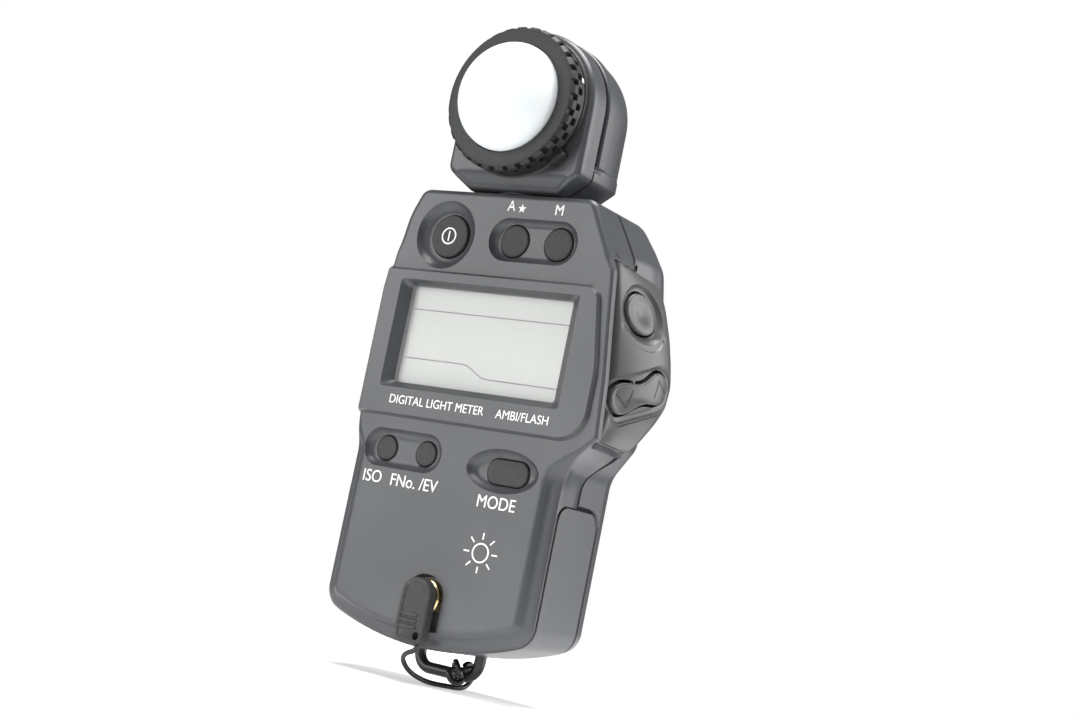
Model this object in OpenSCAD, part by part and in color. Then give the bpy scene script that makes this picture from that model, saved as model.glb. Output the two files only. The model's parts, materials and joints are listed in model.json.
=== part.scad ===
// Handheld light meter with a swivel head, in millimetres.
// Upright, +Z up, front facing -Y. The head turns about the Z axis through the origin,
// and Z = 0 is the lowest point of the casing.

/* [Casing] */
// Half of the casing's width below the display
half_w = 29.4; // [28:0.1:31]
// Height of the casing's flat top
body_top = 107.4; // [106:0.1:109]
// Front face of the casing, along Y
front_y = -12; // [-12.5:0.1:-11.8]
// Back face of the casing, along Y
back_y = 14; // [13.8:0.1:15]
// Wall of the casing's shells
wall = 2.2; // [1.8:0.1:2.3]
// Radius of the casing's bowed lower edge
bottom_r = 75; // [70:1:90]
// Plane where the front and back shells meet
seam_y = -2; // [-2.5:0.1:-1]

/* [Display] */
// Width of the display window
window_w = 46.1; // [44:0.1:47]
// Height of the display window
window_h = 23.7; // [22:0.1:24]
// Height of the window's centre above the lower edge
window_z = 71.4; // [70:0.1:73]

/* [Keys] */
// Radius of the power key
power_r = 5.2; // [4.5:0.1:5.4]
// Radius of the average and memory keys
upper_key_r = 3.8; // [3.4:0.1:4]
// Radius of the film speed and f-number keys
lower_key_r = 2.9; // [2.5:0.1:3.1]
// Radius of the measuring key on the side
measuring_r = 4.8; // [4:0.1:5]
// Gap round each key in its hole
key_gap = 0.3; // [0.25:0.05:0.4]

/* [Head] */
// Radius of the head's round top
head_r = 18.8; // [18.5:0.1:19.2]
// Height of the dome's centre
dome_z = 128.7; // [128:0.1:130]
// Underside of the head
head_bottom = 108.2; // [108.1:0.1:109]
// Back of the head, along Y
head_back = 10; // [9:0.1:11]
// Radius of the white dome at its foot
dome_r = 13.1; // [12:0.1:13.2]
// How far the white dome stands out of its ring
dome_h = 10.4; // [9:0.1:12]
// Outer radius of the dome's turning ring
ring_r = 17.6; // [17.2:0.1:18]

/* [Battery] */
// Diameter of the battery cell
cell_d = 14.5; // [14:0.1:14.5]
// Length of the battery cell with its nub
cell_l = 50.5; // [49:0.1:50.5]

/* [Sync socket] */
// Height of the socket's axis
socket_z = 11.3; // [11:0.1:12]
// Radius of the socket's bore
socket_bore_r = 1.75; // [1.7:0.01:1.8]

/* [Hidden] */
$fn = 64;

fit_gap = 0.05;                       // close fit between pieces of one body
panel_y = front_y - 1.2;              // face of the raised display panel
inner_y = front_y + wall;             // inside of the front wall
board_y = front_y + 6;                // front of the main board
upper_key_z = 96.3;
lower_key_z = 43.7;
power_x = -14.8;
average_x = 4;
memory_x = 16.2;
film_speed_x = -20.2;
f_number_x = -8.6;
mode_x = 15;
mode_z = 42.5;
flange_h = 0.8;                       // flange that keeps a key behind its wall
cell_x = -12;
cell_y = back_y - 9.4;
cell_z = 19;
door_half_w = 9;
door_top = 74;
door_y = back_y - 1.6;
rocker_tilt = 25;                     // slope of the rocker's long axis
rocker_pos = [39.8, 0.2, 65.8];
rocker_half = 5.2;                    // from the rocker's pivot to a lobe's centre
rocker_r = 3.9;
pin_r = 0.8;
measuring_tilt = 18;
measuring_pos = [36.1, -0.6, 83.8];
neck_r = 4;
neck_bore_r = 2.2;
head_seam = -5.5;
head_wall = 1.8;
ring_back = front_y - 2.8;
ring_front = front_y - 7;
collar_r = 14.2;
screw_x = 24.6;
screw_z = [15.5, 92];
head_screw_x = 10.2;
head_screw_z = [114.8, 141];
cap_z0 = 0.5;
cap_z1 = 15.6;
cap_half_w = 4.7;
eyelet_y = 3.6;

cord_r = 0.6;
cord_route = [[2.4, -13.9, 0.45], [2.2, -13.9, -0.4], [1.4, -13.9, -1.1], [0.2, -13.7, -1.6],
    [-1.2, -13.0, -2.4], [-2.2, -11.8, -3.4], [-2.6, -10.2, -4.6], [-2.5, -8.4, -5.8],
    [-1.9, -6.4, -6.8], [-1.0, -4.4, -7.5], [0.2, -2.6, -7.9], [1.5, -1.0, -8.0], [2.8, 0.6, -8.0],
    [4.0, 2.2, -8.0], [4.8, 3.9, -7.8], [5.2, 5.4, -7.0], [5.4, 6.3, -5.6], [5.4, 6.4, -4.1],
    [5.3, 5.8, -2.8], [5.2, 4.7, -2.1], [5.1, 3.6, -2.2], [5.0, 2.8, -2.7]];
knot_pos = [5.0, 1.2, -4.4];
knot_r = 2.3;

function arc(cx, cz, r, a0, a1, n) = [for (i = [0:n]) [cx + r * cos(a0 + (a1 - a0) * i / n),
    cz + r * sin(a0 + (a1 - a0) * i / n)]];
// Points along a helix
function coil(r, z0, z1, turns, steps) = [for (i = [0:turns * steps]) [r * cos(360 * i / steps),
    r * sin(360 * i / steps), z0 + (z1 - z0) * i / (turns * steps)]];

// Casing outline in X and Z, drawn inward by d
function casing(d) = let (s = (half_w - d) / half_w) [[25 * s, -1], [27.9 * s, 6.2], [half_w * s, 11],
    [half_w * s, 97], [27.9 * s, 100.4], [24 * s, body_top - d], [-24 * s, body_top - d],
    [-26.9 * s, 101.7], [-28.4 * s, 92], [-half_w * s, 86], [-half_w * s, 11], [-27.9 * s, 6.2],
    [-25 * s, -1]];

// Extrudes an X-Z outline from y0 back to y1
module slab(y0, y1) {
    translate([0, y1, 0]) rotate([90, 0, 0]) linear_extrude(y1 - y0) children();
}

// Round post along Y
module post(x, z, r, y0, y1) {
    translate([x, y1, z]) rotate([90, 0, 0]) cylinder(r = r, h = y1 - y0);
}

module casing_outline(d) {
    intersection() {
        translate([0, bottom_r]) circle(r = bottom_r - d, $fn = 180);
        polygon(casing(d));
    }
    translate([-(half_w - d), 30]) square([2 * (half_w - d), 30]);
}

module rounded_bar(w, h, r) {
    square([w - 2 * r, h], center = true);
    square([w, h - 2 * r], center = true);
    for (x = [-1, 1], z = [-1, 1]) translate([x * (w / 2 - r), z * (h / 2 - r)]) circle(r = r);
}

module flare_outline() {
    polygon([[29, 99], [31.4, 95], [32.6, 90], [34.2, 78], [35.7, 67], [36.8, 58], [36.3, 52.5],
        [32.4, 48.4], [29, 43]]);
}

module panel_outline() {
    polygon([[-28.9, 51.4], [27.6, 51.4], [32.1, 53.6], [34.5, 56.8], [35.3, 61.5], [35.3, 68.3],
        [34, 77.3], [32.4, 84.5], [30.6, 86.8], [28.3, 87.4], [-28.9, 87.4]]);
}

// Outline of the side bulge, d is the wall taken off
module bulge_outline(d) {
    polygon([[29.5, 94 - d * 1.2], [33.5 - d, 92 - d], [36.3 - d, 83.5], [38.9 - d, 75], [40 - d, 68],
        [39.6 - d, 62], [37.5 - d, 56 + d / 2], [34 - d, 51 + d], [29.5, 47.8 + d * 1.6]]);
}

// Local frame of the rocker: X outward, Y along its lobes, Z along its pivot
module at_rocker() {
    translate(rocker_pos) rotate([rocker_tilt, 0, 0]) children();
}

// Local frame of the measuring key: X outward along its travel
module at_measuring() {
    translate(measuring_pos) rotate([0, -measuring_tilt, 0]) children();
}

module rocker_outline(grow) {
    for (s = [-1, 1]) translate([s * rocker_half, 0]) circle(r = rocker_r + grow);
    square([2 * rocker_half, 5.2 + 2 * grow], center = true);
}

module outward(x0, x1) {
    translate([x0, 0, 0]) rotate([90, 0, 90]) linear_extrude(x1 - x0) children();
}

// Tube swept along points, with flat ends
module tube(points, r, sides, ref) {
    last = len(points) - 1;
    rings = [for (i = [0:last])
        let (t = points[min(i + 1, last)] - points[max(i - 1, 0)],
            u = cross(t, ref) / norm(cross(t, ref)),
            w = cross(u, t) / norm(t))
        for (k = [0:sides - 1]) points[i] + r * (cos(360 * k / sides) * u + sin(360 * k / sides) * w)];
    skin = [for (i = [0:last - 1], k = [0:sides - 1])
        let (n = (k + 1) % sides)
        [i * sides + k, i * sides + n, (i + 1) * sides + n, (i + 1) * sides + k]];
    start = [for (k = [0:sides - 1]) sides - 1 - k];
    finish = [for (k = [0:sides - 1]) last * sides + k];
    polyhedron(rings, concat(skin, [start], [finish]));
}

module front_key_holes() {
    post(power_x, upper_key_z, power_r + key_gap, front_y - 3, inner_y + 1);
    for (x = [average_x, memory_x]) post(x, upper_key_z, upper_key_r + key_gap, front_y - 3, inner_y + 1);
    for (x = [film_speed_x, f_number_x]) {
        post(x, lower_key_z, lower_key_r + key_gap, front_y - 3, inner_y + 1);
    }
    slab(front_y - 3, inner_y + 1) translate([mode_x, mode_z]) {
        rounded_bar(11.3 + 2 * key_gap, 6 + 2 * key_gap, 2.8 + key_gap);
    }
}

module front_recesses() {
    depth_y = front_y + 1;
    post(power_x, upper_key_z, 8.4, front_y - 1, depth_y);
    slab(front_y - 1, depth_y) {
        translate([(average_x + memory_x) / 2, upper_key_z]) rounded_bar(24.6, 10.5, 5.2);
        translate([(film_speed_x + f_number_x) / 2, lower_key_z]) rounded_bar(22.7, 9.2, 4.55);
        translate([mode_x, mode_z]) rounded_bar(19.8, 10, 4.9);
        translate([0, socket_z]) circle(r = 5.3);
        translate([-5.3, -5]) square([10.6, socket_z + 5]);
    }
}

module front_shell() {
    color([0.38, 0.39, 0.40]) {
        difference() {
            union() {
                slab(front_y, seam_y) casing_outline(0);
                slab(front_y, front_y + 2) flare_outline();
                slab(panel_y, front_y) panel_outline();
            }
            slab(inner_y, seam_y + 1) casing_outline(wall);
            slab(panel_y - 1, inner_y + 1) translate([0.7, window_z]) square([window_w, window_h], center = true);
            slab(panel_y - 1, panel_y + 1) translate([0.2, window_z]) square([51.1, 26.4], center = true);
            slab(front_y + 1, inner_y + 1) translate([0.7, window_z]) square([49.2, 26.8], center = true);
            front_recesses();
            front_key_holes();
            post(0, socket_z, 4.3 + fit_gap, front_y - 1, inner_y + 1);
            translate([0, 0, body_top - wall - 1]) cylinder(r = 6 + fit_gap, h = wall + 2);
            translate([25, -7.5, 60]) cube([6, 6, 20]);
        }
        for (x = [-1, 1], z = screw_z) difference() {
            post(x * screw_x, z, 2.5, inner_y, seam_y);
            post(x * screw_x, z, 0.9, inner_y + 1.5, seam_y + 1);
        }
    }
}

module rear_shell() {
    color([0.38, 0.39, 0.40]) difference() {
        union() {
            difference() {
                slab(seam_y, back_y) casing_outline(0);
                slab(seam_y - 1, back_y - 2) casing_outline(wall);
            }
            for (x = [-1, 1], z = screw_z) post(x * screw_x, z, 2.7, seam_y, back_y);
            for (x = [cell_x - 9, cell_x + 7.6]) translate([x, 0, 13]) cube([1.4, back_y - 1, 59.5]);
            translate([0, 9.5, 101]) cylinder(r = 2.2, h = 5);
        }
        translate([0, 0, body_top - wall - 1]) cylinder(r = 6 + fit_gap, h = wall + 2);
        translate([0, 9.5, 102]) cylinder(r = 1.35, h = 8);
        translate([cell_x - door_half_w - key_gap, door_y - key_gap, -5]) {
            cube([2 * (door_half_w + key_gap), 5, door_top + 5 + key_gap]);
        }
        translate([cell_x - door_half_w - 1.2, door_y - key_gap, -5]) {
            cube([2 * (door_half_w + 1.2), 1.2, door_top + 5 + key_gap]);
        }
        translate([cell_x - door_half_w + 1.6, back_y - 4, 14]) cube([2 * (door_half_w - 1.6), 5, door_top - 16]);
        for (x = [-1, 1], z = screw_z) {
            post(x * screw_x, z, 1.1, seam_y - 1, back_y + 1);
            post(x * screw_x, z, 2.1, back_y - 1.6, back_y + 1);
        }
        translate([3, back_y - 0.4, 22]) cube([19, 1, 44]);
        translate([-9.5 - fit_gap, eyelet_y - 1.4 - fit_gap, -1]) cube([19 + 2 * fit_gap, 2.8 + 2 * fit_gap, 5]);
        translate([25, -3, 60]) cube([6, 9, 20]);
    }
}

module side_cap() {
    color([0.42, 0.42, 0.42]) {
        difference() {
            union() {
                difference() {
                    slab(front_y + 2.2, back_y - 2) bulge_outline(0);
                    slab(front_y + 4.2, back_y - 4) bulge_outline(2);
                }
                for (s = [-1, 1]) at_rocker() translate([-4.2, -1.6, s * 5.1 - 0.7]) cube([2.4, 3.2, 1.4]);
            }
            at_measuring() outward(-6, 4) circle(r = measuring_r + key_gap);
            at_rocker() outward(-6, 4) rocker_outline(0.5);
            at_rocker() translate([-3, 0, -5.9]) cylinder(r = pin_r + fit_gap / 2, h = 11.8);
        }
    }
}

module display_window() {
    color([0.8, 0.82, 0.8, 0.4]) slab(front_y + 1.05, inner_y - 0.05) {
        translate([0.7, window_z]) rounded_bar(48.9, 26.5, 0.6);
    }
}

module display_glass() {
    color([0.86, 0.86, 0.85]) {
        slab(inner_y + 0.3, inner_y + 1.3) translate([0.7, window_z]) square([47, 26.8], center = true);
        slab(inner_y + 1.3, inner_y + 2.1) translate([0.7, window_z]) square([44.4, 22.4], center = true);
    }
}

module display_holder() {
    color([0.2, 0.2, 0.21]) difference() {
        slab(inner_y + 0.2, board_y) translate([0.7, window_z]) rounded_bar(50.4, 30, 1);
        slab(inner_y, inner_y + 1.5) translate([0.7, window_z]) square([47.2, 27], center = true);
        slab(inner_y + 1.4, board_y + 1) translate([0.7, window_z]) square([45, 25], center = true);
    }
}

module display_connectors() {
    color([0.75, 0.72, 0.6]) for (s = [-1, 1]) {
        slab(inner_y + 1.3, board_y) translate([0.7, window_z + s * 11.95]) square([44, 1.1], center = true);
    }
}

module main_board() {
    color([0.1, 0.35, 0.22]) difference() {
        slab(board_y, board_y + 1.2) {
            translate([-21.4, 17]) square([42.8, 83]);
            translate([-21.4, 56]) square([46.5, 28]);
        }
        for (x = [-18, 18]) post(x, 53, 0.9, board_y - 1, board_y + 3);
    }
}

module board_parts() {
    y0 = board_y + 1.2;
    color([0.08, 0.08, 0.09]) {
        translate([2, y0, 62]) cube([12, 1.5, 12]);
        translate([6, y0, 84]) cube([7, 1.4, 7]);
        translate([3, y0, 36]) cube([8, 1.4, 5]);
        translate([14, y0, 30]) cube([5, 2.5, 9]);
        post(8, 24, 3.6, y0, y0 + 1.8);
        translate([-3, y0, 95]) cube([6, 2, 3]);
        for (i = [0:4]) translate([16, y0, 60 + i * 4]) cube([2, 0.9, 1.2]);
    }
}

module key_mat() {
    y1 = board_y - 0.05;
    y0 = y1 - 1;
    color([0.3, 0.3, 0.32]) {
        slab(y0, y1) {
            translate([-21, 89.2]) square([42, 12.4]);
            translate([-24, 38]) square([46, 11]);
        }
        for (p = [[power_x, upper_key_z], [average_x, upper_key_z], [memory_x, upper_key_z],
            [film_speed_x, lower_key_z], [f_number_x, lower_key_z], [mode_x, mode_z]]) {
            post(p[0], p[1], 1.6, y0 - 0.3, y0);
        }
    }
}

// Key cap with its flange and plunger; the cap's outline is the child
module front_key(x, z) {
    y_flange = inner_y + 0.3;
    slab(front_y + 0.3, y_flange) translate([x, z]) children(0);
    slab(y_flange, y_flange + flange_h) translate([x, z]) children(1);
    post(x, z, 1.4, y_flange + flange_h, y_flange + flange_h + 0.4);
}

module round_key(x, z, r) {
    color([0.31, 0.31, 0.32]) front_key(x, z) {
        circle(r = r);
        circle(r = r + 0.9);
    }
}

module power_key() {
    round_key(power_x, upper_key_z, power_r);
}

module average_key() {
    round_key(average_x, upper_key_z, upper_key_r);
}

module memory_key() {
    round_key(memory_x, upper_key_z, upper_key_r);
}

module film_speed_key() {
    round_key(film_speed_x, lower_key_z, lower_key_r);
}

module f_number_key() {
    round_key(f_number_x, lower_key_z, lower_key_r);
}

module mode_key() {
    color([0.31, 0.31, 0.32]) front_key(mode_x, mode_z) {
        rounded_bar(11.3, 6, 2.8);
        rounded_bar(12.9, 7.6, 3.6);
    }
}

module measuring_key() {
    color([0.33, 0.33, 0.33]) at_measuring() {
        outward(-2.4, 0.8) circle(r = measuring_r);
        outward(-3.2, -2.4) circle(r = measuring_r + 0.8);
        outward(-3.6, -3.2) circle(r = 1.2);
    }
}

module rocker_key() {
    color([0.33, 0.33, 0.33]) at_rocker() difference() {
        union() {
            outward(-2.2, 0.7) rocker_outline(0);
            outward(-3, -2.2) circle(r = 2);
            translate([-3, 0, -2.5]) cylinder(r = 1.6, h = 5);
        }
        translate([-3, 0, -8]) cylinder(r = pin_r + fit_gap, h = 16);
    }
}

module rocker_pin() {
    color([0.8, 0.8, 0.78]) at_rocker() translate([-3, 0, -5.8]) cylinder(r = pin_r, h = 11.6);
}

module side_key_board() {
    color([0.1, 0.35, 0.22]) translate([29.8, -6.5, 57]) cube([0.8, 13, 28]);
}

module side_switches() {
    color([0.2, 0.2, 0.2]) {
        for (s = [-1, 1]) at_rocker() translate([-9.2, s * rocker_half - 1.5, -1.5]) cube([5.7, 3, 3]);
        at_measuring() outward(-5.2, -4.7) square([3, 3], center = true);
    }
}

module battery_cell() {
    color([0.7, 0.5, 0.2]) translate([cell_x, cell_y, cell_z]) {
        cylinder(d = cell_d, h = cell_l - 1.5);
        translate([0, 0, cell_l - 1.5]) cylinder(r = 2.7, h = 1.5);
    }
}

module battery_door() {
    color([0.38, 0.39, 0.40]) difference() {
        intersection() {
            union() {
                translate([cell_x - door_half_w, door_y, -2]) cube([2 * door_half_w, 1.6, door_top + 2]);
                translate([cell_x - door_half_w - 0.9, door_y, -2]) {
                    cube([2 * (door_half_w + 0.9), 0.6, door_top + 2]);
                }
            }
            slab(door_y - 1, back_y + 1) casing_outline(0);
        }
        for (i = [0:4]) translate([cell_x - 6, back_y - 0.5, 9 + i * 2]) cube([12, 1, 0.9]);
    }
}

module battery_spring() {
    color([0.8, 0.8, 0.78]) translate([cell_x, cell_y, 0]) {
        tube(coil(3.6, 14.2, cell_z - 0.5, 3, 14), 0.4, 6, [0, 0, 1]);
    }
}

module battery_contact() {
    color([0.8, 0.8, 0.78]) {
        translate([cell_x - 5, cell_y - 4, cell_z + cell_l + 0.1]) cube([10, 8, 0.5]);
        translate([cell_x - 5, cell_y - 4, 13.2]) cube([10, 8, 0.5]);
    }
}

module back_label() {
    color([0.6, 0.6, 0.6]) translate([3.2, back_y - 0.35, 22.2]) cube([18.6, 0.35, 43.6]);
}

module body_screws() {
    color([0.15, 0.15, 0.16]) for (x = [-1, 1], z = screw_z) difference() {
        union() {
            post(x * screw_x, z, 1.9, back_y - 1.55, back_y - 0.4);
            post(x * screw_x, z, 0.85, seam_y - 4, back_y - 1.5);
        }
        translate([x * screw_x, back_y - 0.4, z]) cube([2.6, 1, 0.5], center = true);
        translate([x * screw_x, back_y - 0.4, z]) cube([0.5, 1, 2.6], center = true);
    }
}

module sync_sleeve() {
    color([0.72, 0.58, 0.3]) difference() {
        union() {
            post(0, socket_z, 3.1, front_y - 1.6, inner_y + 0.8);
            post(0, socket_z, 4.3, front_y + 1.1, inner_y + 0.8);
        }
        post(0, socket_z, socket_bore_r, front_y - 3, inner_y + 3);
        post(0, socket_z, 2.5, front_y + 1.4, inner_y + 3);
    }
}

module sync_insulator() {
    color([0.1, 0.1, 0.1]) difference() {
        post(0, socket_z, 2.45, front_y + 1.4, inner_y + 1.2);
        post(0, socket_z, 0.5, front_y, inner_y + 3);
    }
}

module sync_contact() {
    color([0.75, 0.6, 0.3]) post(0, socket_z, 0.45, front_y + 1.4, inner_y + 2.6);
}

module sync_cap() {
    color([0.2, 0.2, 0.2]) difference() {
        union() {
            slab(front_y - 3.4, front_y - 0.35) {
                translate([0, cap_z1 - cap_half_w]) circle(r = cap_half_w);
                translate([-cap_half_w, cap_z0]) square([2 * cap_half_w, cap_z1 - cap_half_w - cap_z0]);
            }
            for (i = [0:2]) translate([-3.4, front_y - 3.7, 3.2 + i * 1.9]) cube([6.8, 0.4, 0.8]);
        }
        post(0, socket_z - 0.2, 3.6, front_y - 2.4, front_y + 1);
    }
}

module cap_cord() {
    color([0.05, 0.05, 0.05]) tube(cord_route, cord_r, 8, [0.3, 1, 0]);
}

module cord_knot() {
    color([0.05, 0.05, 0.05]) translate(knot_pos) sphere(r = knot_r, $fn = 32);
}

module strap_eyelet() {
    color([0.08, 0.08, 0.08]) slab(eyelet_y - 1.4, eyelet_y + 1.4) difference() {
        union() {
            translate([-9.5, 0.3]) square([19, 3]);
            polygon(concat([[10, 0.35]], arc(5, -1.4, 5.1, 0, -90, 6), arc(-5, -1.4, 5.1, -90, -180, 6),
                [[-10, 0.35]]));
        }
        polygon([[7.2, -0.3], [6.6, -2.2], [4.8, -3.6], [-4.8, -3.6], [-6.6, -2.2], [-7.2, -0.3]]);
    }
}

module swivel_bushing() {
    color([0.85, 0.85, 0.82]) difference() {
        union() {
            translate([0, 0, body_top - wall - 1.8]) cylinder(r = 7.2, h = 1.75);
            translate([0, 0, body_top - wall - 0.1]) cylinder(r = 6, h = wall + 0.3);
        }
        translate([0, 0, 95]) cylinder(r = neck_r + 0.06, h = 20);
    }
}

module detent_ball() {
    color([0.8, 0.8, 0.8]) translate([0, 9.5, body_top - 0.45]) sphere(r = 1.2);
}

module detent_spring() {
    color([0.8, 0.8, 0.78]) translate([0, 9.5, 0]) {
        tube(coil(0.9, 102.6, body_top - 1.95, 3, 12), 0.25, 6, [0, 0, 1]);
    }
}

module neck_shaft() {
    color([0.75, 0.75, 0.74]) difference() {
        union() {
            translate([0, 0, 101.4]) cylinder(r = neck_r, h = 11);
            translate([0, 0, head_bottom + head_wall + 0.05]) cylinder(r = 6.6, h = 1.4);
        }
        translate([0, 0, 95]) cylinder(r = neck_bore_r, h = 30);
        difference() {
            translate([0, 0, 102.1]) cylinder(r = neck_r + 1, h = 0.9);
            translate([0, 0, 102]) cylinder(r = neck_r - 0.6, h = 2);
        }
    }
}

module neck_retainer() {
    color([0.7, 0.7, 0.7]) translate([0, 0, 102.2]) difference() {
        cylinder(r = 6, h = 0.7);
        translate([0, 0, -1]) cylinder(r = neck_r - 0.5, h = 3);
        translate([-2, -8, -1]) cube([4, 8, 3]);
    }
}

module head_outline(d) {
    s = head_r - d;
    polygon(concat(arc(0, dome_z, s, 0, 180, 36), [[-s, 112.4 + d * 0.4], [-s + 1.2, 110], [-s + 4.4, head_bottom + d],
        [s - 4.4, head_bottom + d], [s - 1.2, 110], [s, 112.4 + d * 0.4]]));
}

// Ring-shaped groove under the head, the detent ball's track
module detent_groove() {
    translate([0, 0, head_bottom - 1]) difference() {
        cylinder(r = 11.1, h = 2);
        translate([0, 0, -1]) cylinder(r = 7.9, h = 4);
    }
}

module head_front_shell() {
    color([0.38, 0.39, 0.40]) {
        difference() {
            slab(front_y, head_seam) head_outline(0);
            slab(front_y + head_wall, head_seam + 1) head_outline(head_wall);
            post(0, dome_z, 11.2, front_y - 1, front_y + 3);
            translate([0, 0, head_bottom - 1]) cylinder(r = neck_r + 0.2, h = 4);
            detent_groove();
        }
        for (x = [-1, 1]) difference() {
            post(x * head_screw_x, head_screw_z[0], 2, front_y + head_wall, head_seam);
            post(x * head_screw_x, head_screw_z[0], 0.8, front_y + 3, head_seam + 1);
        }
        difference() {
            post(0, head_screw_z[1], 1.9, front_y + head_wall, head_seam);
            post(0, head_screw_z[1], 0.8, front_y + 3, head_seam + 1);
        }
    }
}

module head_rear_shell() {
    color([0.38, 0.39, 0.40]) difference() {
        union() {
            difference() {
                slab(head_seam, head_back) head_outline(0);
                slab(head_seam - 1, head_back - head_wall) head_outline(head_wall);
            }
            for (x = [-1, 1]) post(x * head_screw_x, head_screw_z[0], 2.2, head_seam, head_back);
            post(0, head_screw_z[1], 2.2, head_seam, head_back);
            intersection() {
                translate([0, 0, head_bottom]) cylinder(r = 12, h = head_wall + 1.2);
                translate([-12, head_seam, head_bottom]) cube([24, head_back - head_seam, 4]);
            }
        }
        translate([0, 0, head_bottom - 1]) cylinder(r = neck_r + 0.02, h = 6);
        translate([0, 0, head_bottom + head_wall]) cylinder(r = 6.65, h = 6);
        detent_groove();
        for (x = [-1, 1]) {
            post(x * head_screw_x, head_screw_z[0], 0.95, head_seam - 1, head_back + 1);
            post(x * head_screw_x, head_screw_z[0], 1.8, head_back - 1.4, head_back + 1);
        }
        post(0, head_screw_z[1], 0.95, head_seam - 1, head_back + 1);
        post(0, head_screw_z[1], 1.8, head_back - 1.4, head_back + 1);
    }
}

module head_screws() {
    places = [[-head_screw_x, head_screw_z[0]], [head_screw_x, head_screw_z[0]], [0, head_screw_z[1]]];
    color([0.15, 0.15, 0.16]) for (p = places) {
        difference() {
            union() {
                post(p[0], p[1], 1.6, head_back - 1.35, head_back - 0.4);
                post(p[0], p[1], 0.75, head_seam - 2.6, head_back - 1.3);
            }
            translate([p[0], head_back - 0.4, p[1]]) cube([2.2, 1, 0.45], center = true);
            translate([p[0], head_back - 0.4, p[1]]) cube([0.45, 1, 2.2], center = true);
        }
    }
}

module head_cable() {
    color([0.6, 0.6, 0.62]) {
        tube([[0, -5.4, 121], [0, -4.4, 121], [0, -3.2, 120.6], [0, -2.0, 119.4], [0, -1.0, 117.6], [0, -0.3, 115.4],
            [0, 0, 113], [0, 0, 110], [0, 0, 106], [0, 0, 102], [0, 0, 100.8]], 1, 8, [1, 0, 0]);
    }
}

module sensor() {
    color([0.2, 0.2, 0.22]) post(0, dome_z, 4, front_y - 0.8, -7.2);
}

module sensor_board() {
    color([0.1, 0.35, 0.22]) difference() {
        slab(-7.15, -6) translate([0, dome_z - 1]) square([22, 20], center = true);
        post(-8, dome_z + 6, 0.9, -9, -4);
        post(8, dome_z + 6, 0.9, -9, -4);
    }
}

module diffuser_filter() {
    color([0.4, 0.55, 0.6, 0.6]) post(0, dome_z, 6, front_y - 2.2, front_y - 0.9);
}

// Wedge of the X-Z plane, centred on angle a
module wedge(a, half, r) {
    polygon([[0, 0], [r * cos(a - half), r * sin(a - half)], [r * 1.1 * cos(a), r * 1.1 * sin(a)],
        [r * cos(a + half), r * sin(a + half)]]);
}

module bayonet_base() {
    color([0.3, 0.3, 0.31]) {
        difference() {
            union() {
                post(0, dome_z, 17.1, front_y - 2.4, front_y);
                post(0, dome_z, collar_r, front_y - 5.6, front_y - 2.4);
                slab(front_y - 5.4, front_y - 4.4) translate([0, dome_z]) intersection() {
                    circle(r = collar_r + 1);
                    union() {
                        for (a = [90, 210, 330]) wedge(a, 11, 30);
                    }
                }
                translate([11.3, front_y - 2.4, dome_z - 14.8]) cube([3.4, 2.4, 4.4]);
            }
            post(0, dome_z, 11, front_y - 8, front_y + 1);
        }
        slab(front_y - 0.7, front_y) translate([0, dome_z]) difference() {
            circle(r = 11.05);
            circle(r = 4.1);
        }
    }
}

module dome_ring() {
    color([0.3, 0.3, 0.31]) difference() {
        post(0, dome_z, ring_r, ring_front, ring_back);
        post(0, dome_z, collar_r + 0.4, front_y - 4, front_y);
        post(0, dome_z, collar_r + 1.4, front_y - 6, front_y - 3.9);
        post(0, dome_z, dome_r + 0.15, ring_front - 1, front_y);
        slab(front_y - 5, front_y) translate([0, dome_z]) intersection() {
            circle(r = collar_r + 1.4);
            union() {
                for (a = [45, 165, 285]) wedge(a, 14, 30);
            }
        }
    }
}

module dome() {
    color([0.95, 0.95, 0.94]) {
        translate([0, ring_front + 0.2, dome_z]) rotate([90, 0, 0]) rotate_extrude() {
            difference() {
                intersection() {
                    translate([0, -dome_r - 2 + dome_h]) circle(r = dome_r + 2, $fn = 96);
                    square([dome_r, 40]);
                }
                intersection() {
                    translate([0, -dome_r - 3.4 + dome_h]) circle(r = dome_r + 2, $fn = 96);
                    translate([0, -1]) square([dome_r - 1.4, 40]);
                }
            }
        }
    }
}

front_shell();
rear_shell();
side_cap();
display_window();
display_glass();
display_holder();
display_connectors();
main_board();
board_parts();
key_mat();
power_key();
average_key();
memory_key();
film_speed_key();
f_number_key();
mode_key();
measuring_key();
rocker_key();
rocker_pin();
side_key_board();
side_switches();
battery_cell();
battery_door();
battery_spring();
battery_contact();
back_label();
body_screws();
sync_sleeve();
sync_insulator();
sync_contact();
sync_cap();
cap_cord();
cord_knot();
strap_eyelet();
swivel_bushing();
detent_ball();
detent_spring();
neck_shaft();
neck_retainer();
head_front_shell();
head_rear_shell();
head_screws();
head_cable();
sensor();
sensor_board();
diffuser_filter();
bayonet_base();
dome_ring();
dome();
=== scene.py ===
"""Looks of a handheld light meter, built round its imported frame."""

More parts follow.
